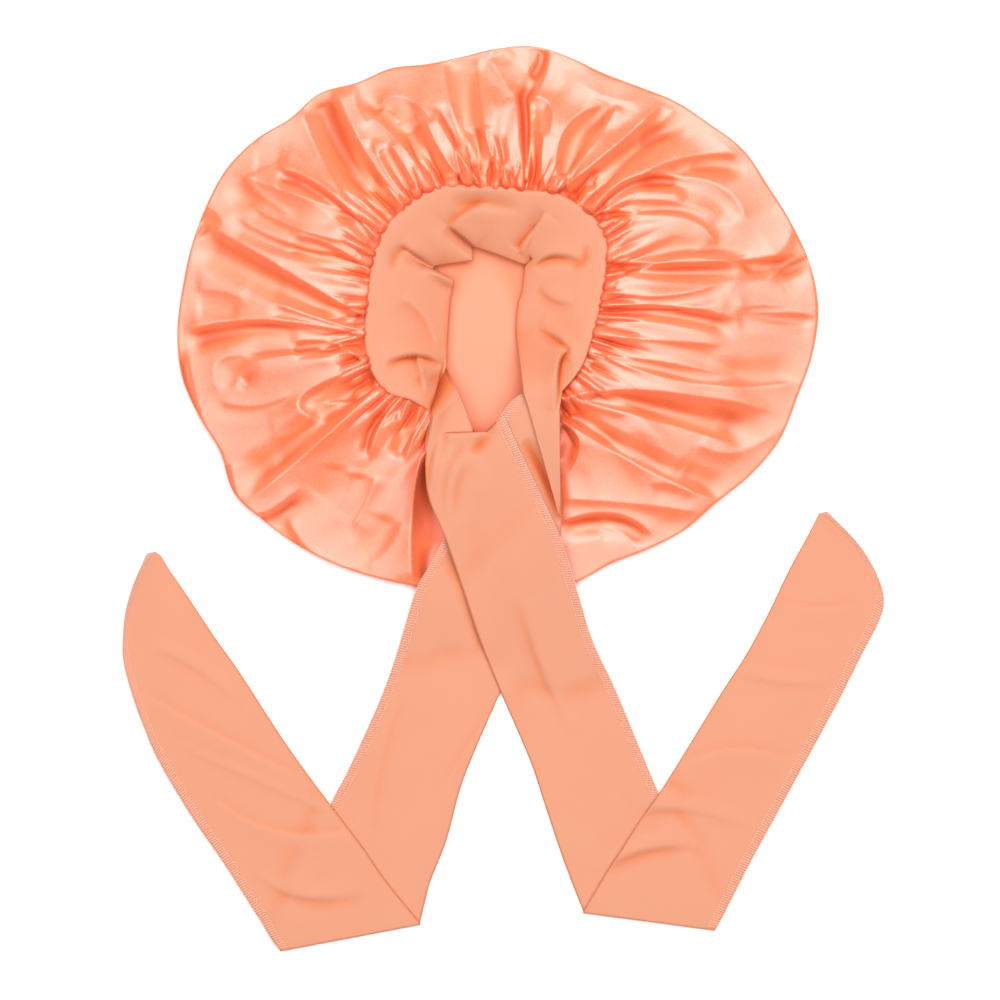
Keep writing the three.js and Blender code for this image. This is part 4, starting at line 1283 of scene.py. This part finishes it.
class Shader:
    """A material whose nodes are added one call at a time."""

    def __init__(self, name):
        self.material = bpy.data.materials.new(name)
        self.material.use_nodes = True
        self.tree = self.material.node_tree
        self.tree.nodes.clear()

    def node(self, kind, settings, inputs, output=0):
        """Adds a node, sets it up, links or sets its sockets, and gives one output."""
        made = self.tree.nodes.new(kind)
        for name, value in settings.items():
            if name == "stops":
                self._stops(made.color_ramp, value)
            else:
                setattr(made, name, value)
        for name, value in inputs.items():
            if isinstance(value, Sum):
                self.tree.links.new(value.socket, made.inputs[name])
            else:
                made.inputs[name].default_value = value
        return Sum(self, made.outputs[output])

    def _stops(self, ramp, stops):
        while len(ramp.elements) < len(stops):
            ramp.elements.new(0.5)
        for element, (position, colour) in zip(ramp.elements, stops):
            element.position = position
            element.color = (*colour, 1.0)

    def mix(self, factor, first, second):
        """A colour between two colours."""
        made = self.tree.nodes.new("ShaderNodeMix")
        made.data_type = "RGBA"
        for socket, value in ((made.inputs[0], factor), (made.inputs[6], first), (made.inputs[7], second)):
            if isinstance(value, Sum):
                self.tree.links.new(value.socket, socket)
            else:
                socket.default_value = value if isinstance(value, float) else (*value, 1.0)
        return Sum(self, made.outputs[2])

    def ramp(self, value, low, high):
        """A smooth step from 0 at one value to 1 at another."""
        settings = {"interpolation_type": "SMOOTHSTEP"}
        return self.node("ShaderNodeMapRange", settings, {"Value": value, "From Min": low, "From Max": high})

    def place(self):
        """Where a point lies in the object's own frame."""
        return self.node("ShaderNodeTexCoord", {}, {}, "Object")

    def noise(self, place, scale, detail):
        """Soft noise whose grains are about one part in scale of a metre."""
        return self.node("ShaderNodeTexNoise", {}, {"Vector": place, "Scale": scale, "Detail": detail})

    def stored(self, name):
        """A number that the mesh holds for each of its points."""
        return self.node("ShaderNodeAttribute", {"attribute_name": name}, {}, "Fac")

    def bump(self, height, strength, distance):
        """A normal that follows a height."""
        inputs = {"Strength": strength, "Distance": distance, "Height": height}
        return self.node("ShaderNodeBump", {}, inputs)

    def finish(self, inputs):
        """The one surface shader, joined to the output."""
        surface = self.node("ShaderNodeBsdfPrincipled", {}, inputs)
        output = self.tree.nodes.new("ShaderNodeOutputMaterial")
        self.tree.links.new(surface.socket, output.inputs["Surface"])
        return self.material


def tinted(colour, shares):
    """A colour with each channel multiplied by its share."""
    return tuple(channel * share for channel, share in zip(colour, shares))


def satin_material(colour):
    """Glossy satin: a fine grain and a slow drift, with painted shade in valleys and gaps and along the
    seam.
    """
    shader = Shader("satin_gloss")
    place = shader.place()
    drift = shader.noise(place, SATIN_DRIFT, 3.0)
    floats = shader.noise(place, SATIN_GRAIN, 3.0)
    gap = shader.stored("gap")
    valley = shader.stored("valley")
    grain = shader.ramp(floats, 0.3, 0.7)
    narrow = shader.ramp(gap, 0.0, 1.0)
    base = shader.mix(0.4 * drift + 0.7 * grain, tinted(colour, SATIN_DARK), colour)
    # Painted shade: orange in the valleys and deep red in the gaps
    base = shader.mix(0.8 * valley, base, VALLEY_SHADE_COLOUR)
    base = shader.mix(0.8 * narrow, base, GAP_SHADE_COLOUR)
    # A painted dark red line of shade along the seam
    base = shader.mix(2.0 * (gap - 1.0), base, SEAM_SHADE_COLOUR)
    # Where shade is painted the coat fades, the satin roughens and Metallic gives its reflection the painted
    # colour
    clear = (1.0 - valley) * (1.0 - narrow)
    return shader.finish({
        "Base Color": base, "Roughness": 0.38 + 0.08 * grain + 0.2 * narrow,
        "Metallic": 0.1 * valley + 0.25 * narrow, "Normal": shader.bump(floats, 0.6, 0.0002),
        "IOR": 2.2, "Specular Tint": SATIN_GLOSS,
        "Coat Weight": 0.32 * clear, "Coat Roughness": 0.25, "Coat Tint": SATIN_COAT,
    })


def wrong_side_material(colour):
    """The satin's matte wrong side, with painted shade, redder and darker, near the band."""
    shader = Shader("satin_wrong_side")
    place = shader.place()
    drift = shader.noise(place, WRONG_SIDE_DRIFT, 3.0)
    weave = shader.noise(place, WRONG_SIDE_WEAVE, 2.0)
    centre_x, centre_y, half_width, half_length = (size * MM for size in OPENING)
    across = shader.node("ShaderNodeSeparateXYZ", {}, {"Vector": place}, "X")
    along = shader.node("ShaderNodeSeparateXYZ", {}, {"Vector": place}, "Y")
    across = (across - centre_x) * (1.0 / half_width)
    along = (along - centre_y) * (1.0 / half_length)
    # Painted shade near the band: redder and darker towards the edge of the opening
    band_shade = shader.ramp(across * across + along * along, 0.45, 1.25)
    base = shader.mix(drift, tinted(colour, WRONG_SIDE_DARK), colour)
    base = shader.mix(0.8 * band_shade, base, tinted(colour, NEAR_BAND_SHADE))
    return shader.finish({
        "Base Color": base, "Roughness": 0.62 + 0.1 * weave,
        "Normal": shader.bump(weave, 0.1, 0.0002),
        "Specular IOR Level": 0.2, "Sheen Weight": 0.04, "Sheen Tint": CLOTH_SHEEN,
    })


def jersey_material(colour, wale):
    """Fine knitted jersey: wales along the strip, small loops across it and painted shade in its creases."""
    shader = Shader("jersey_knit")
    place = shader.node("ShaderNodeUVMap", {"uv_map": "UVMap"}, {})
    per_wale = WAVE_SCALE / wale
    wales = shader.node("ShaderNodeTexWave", {"wave_type": "BANDS", "bands_direction": "X"}, {
        "Vector": place, "Scale": per_wale, "Distortion": 0.6, "Detail": 1.0, "Detail Scale": 2.0})
    loops = shader.node("ShaderNodeTexWave", {"wave_type": "BANDS", "bands_direction": "Y"}, {
        "Vector": place, "Scale": per_wale / LOOP_LENGTH, "Distortion": 0.8, "Detail": 1.0})
    drift = shader.noise(place, JERSEY_DRIFT, 4.0)
    lint = shader.noise(place, JERSEY_LINT, 3.0)
    knit = wales * 0.6 + loops * 0.4
    hollow = shader.stored("hollow")
    thread_mix = 0.25 * knit + 0.45 * drift + 0.3 * lint
    base = shader.mix(thread_mix, tinted(colour, JERSEY_DARK), colour)
    # Painted shade in the hollows, darkest in the deepest creases
    base = shader.mix(0.9 * hollow, base, tinted(colour, JERSEY_SHADE))
    base = shader.mix(hollow - 1.0, base, tinted(colour, JERSEY_DEEPEST_SHADE))
    return shader.finish({
        "Base Color": base, "Roughness": 0.86 + 0.08 * lint,
        "Normal": shader.bump(knit + 0.5 * lint, 0.35, 0.00015),
        "Specular IOR Level": 0.15, "Sheen Weight": 0.05, "Sheen Tint": CLOTH_SHEEN,
    })


def thread_material(colour):
    """Pale polyester thread."""
    shader = Shader("overlock_thread")
    twist = shader.noise(shader.place(), THREAD_TWIST, 2.0)
    base = shader.mix(twist, tinted(colour, THREAD_DARK), colour)
    return shader.finish({"Base Color": base, "Roughness": 0.5 + 0.1 * twist, "Sheen Weight": 0.2})


def paper_material():
    """The pale floor."""
    shader = Shader("pale_paper")
    grain = shader.noise(shader.place(), PAPER_GRAIN, 2.0)
    base = shader.mix(grain, (0.88, 0.88, 0.88), (0.9, 0.9, 0.9))
    return shader.finish({"Base Color": base, "Roughness": 0.9})


def shared_thread():
    """The thread's material, made once for both ties."""
    made = bpy.data.materials.get("overlock_thread")
    return made or thread_material(tuple(bpy.context.scene.bonnet_stitches.colour))


def shared_jersey():
    """The jersey's material, made once for the band and the ties."""
    jersey = bpy.context.scene.bonnet_jersey
    made = bpy.data.materials.get("jersey_knit")
    return made or jersey_material(tuple(jersey.colour), jersey.wale)


# One operator for each piece


class BONNET_OT_crown(bpy.types.Operator):
    """Models the gathered satin crown"""

    bl_idname = "bonnet.crown"
    bl_label = "Satin crown"

    def execute(self, context):
        settings = context.scene.bonnet_crown
        points, faces, right_side, top = crown_mesh(settings)
        COVER.add(top)
        crown = new_piece("satin_crown_cloth", points, faces)
        satin = satin_material(tuple(settings.colour))
        settle(crown, [satin, wrong_side_material(tuple(settings.wrong_side))])
        sides = [0] * right_side + [1] * (len(faces) - right_side)
        crown.data.polygons.foreach_set("material_index", sides)
        # The painted shade of gaps and valleys is stored on the points of the upper side
        for name, values in crown_painted_shade(top[:settings.rows]).items():
            unmarked = np.zeros(len(points) - values.size)
            mark(crown.data, name, np.append(values.ravel(), unmarked))
        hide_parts(*[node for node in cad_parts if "crown" in node])
        return {"FINISHED"}


class BONNET_OT_band(bpy.types.Operator):
    """Models the jersey band inside the opening"""

    bl_idname = "bonnet.band"
    bl_label = "Head band"

    def execute(self, context):
        settings = context.scene.bonnet_jersey
        grid = band_grid(settings)
        band = cloth_object("head_band_cloth", grid)
        COVER.add(grid)
        thicken(band, settings.wall)
        settle(band, [shared_jersey()])
        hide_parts("head_band")
        return {"FINISHED"}


class BONNET_OT_tie(bpy.types.Operator):
    """Models one tie and its overlocked edge"""

    bl_idname = "bonnet.tie"
    bl_label = "Tie"

    side: EnumProperty(
        name="Side", description="Which tie to model", default="right", items=[
            ("left", "Left", "The tie that lies on top"),
            ("right", "Right", "The tie that lies under the left one"),
        ])

    def execute(self, context):
        settings = context.scene.bonnet_jersey
        stitching = context.scene.bonnet_stitches
        tables = {
            "left": (LEFT_TIE_FIRST, LEFT_TIE_SECOND, LEFT_TIE_FOLDS, LEFT_TIE_DIP, LEFT_TIE_START),
            "right": (RIGHT_TIE_FIRST, RIGHT_TIE_SECOND, RIGHT_TIE_FOLDS, 0.0, None),
        }
        first, turns, second = tie_grids(*tables[self.side], settings)
        grid = np.concatenate([first, turns, second])
        tie = cloth_object(self.side + "_tie_cloth", grid, stitched=STITCHED_COLUMNS)
        thicken(tie, settings.wall)
        settle(tie, [shared_jersey()])
        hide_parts(self.side + "_tie")
        points, faces = stitched_edge((first, second), settings.wall / MM, stitching)
        stitches = new_piece(self.side + "_tie_stitches", points, faces.tolist())
        settle(stitches, [shared_thread()])
        return {"FINISHED"}


class BONNET_OT_stage(bpy.types.Operator):
    """Sets the pale floor, the soft lights and the camera straight above"""

    bl_idname = "bonnet.stage"
    bl_label = "Stage"

    def execute(self, context):
        settings = context.scene.bonnet_stage
        scene = context.scene
        scene.view_settings.view_transform = "Standard"
        bpy.ops.object.select_all(action="DESELECT")
        bpy.ops.mesh.primitive_plane_add(size=settings.floor, location=(0.0, 0.0, FLOOR_HEIGHT))
        floor = context.active_object
        floor.name = "floor"
        bpy.ops.object.transform_apply(location=True)
        floor.data.materials.append(paper_material())
        for name, place, target, size in LIGHTS:
            self.light(name, place, target, size, getattr(settings, name))
        world = bpy.data.worlds.new("studio")
        world.use_nodes = True
        world.node_tree.nodes["Background"].inputs["Color"].default_value = SKY_COLOUR
        world.node_tree.nodes["Background"].inputs["Strength"].default_value = settings.sky
        scene.world = world
        camera = bpy.data.cameras.new("camera")
        camera.lens = settings.lens
        camera.clip_end = 50.0
        distance = settings.view_width * settings.lens / camera.sensor_width
        eye = bpy.data.objects.new("camera", camera)
        eye.location = (*VIEW_CENTRE, distance)
        scene.collection.objects.link(eye)
        scene.camera = eye
        return {"FINISHED"}

    def light(self, name, place, target, size, power):
        """A square soft light that faces a place."""
        lamp = bpy.data.lights.new(name, "AREA")
        lamp.size = size
        lamp.energy = power
        holder = bpy.data.objects.new(name, lamp)
        holder.location = place
        aim = Vector(target) - Vector(place)
        holder.rotation_euler = aim.to_track_quat("-Z", "Y").to_euler()
        bpy.context.scene.collection.objects.link(holder)


class BONNET_PT_panel(bpy.types.Panel):
    """Lists the pieces of the bonnet"""

    bl_label = "Satin bonnet"
    bl_idname = "BONNET_PT_panel"
    bl_space_type = "VIEW_3D"
    bl_region_type = "UI"
    bl_category = "Bonnet"

    def draw(self, context):
        for operator in OPERATORS:
            self.layout.operator(operator.bl_idname)


SETTINGS = {
    "bonnet_crown": CrownSettings,
    "bonnet_jersey": JerseySettings,
    "bonnet_stitches": StitchSettings,
    "bonnet_stage": StageSettings,
}
OPERATORS = (BONNET_OT_crown, BONNET_OT_band, BONNET_OT_tie, BONNET_OT_stage)


def register():
    for name, group in SETTINGS.items():
        bpy.utils.register_class(group)
        setattr(bpy.types.Scene, name, bpy.props.PointerProperty(type=group))
    for one in (*OPERATORS, BONNET_PT_panel):
        bpy.utils.register_class(one)


def unregister():
    for one in reversed((*OPERATORS, BONNET_PT_panel)):
        bpy.utils.unregister_class(one)
    for name, group in SETTINGS.items():
        delattr(bpy.types.Scene, name)
        bpy.utils.unregister_class(group)


def main():
    register()
    bpy.ops.bonnet.stage()
    bpy.ops.bonnet.crown()
    bpy.ops.bonnet.tie(side="right")
    bpy.ops.bonnet.band()
    bpy.ops.bonnet.tie(side="left")


if __name__ == "__main__":
    main()
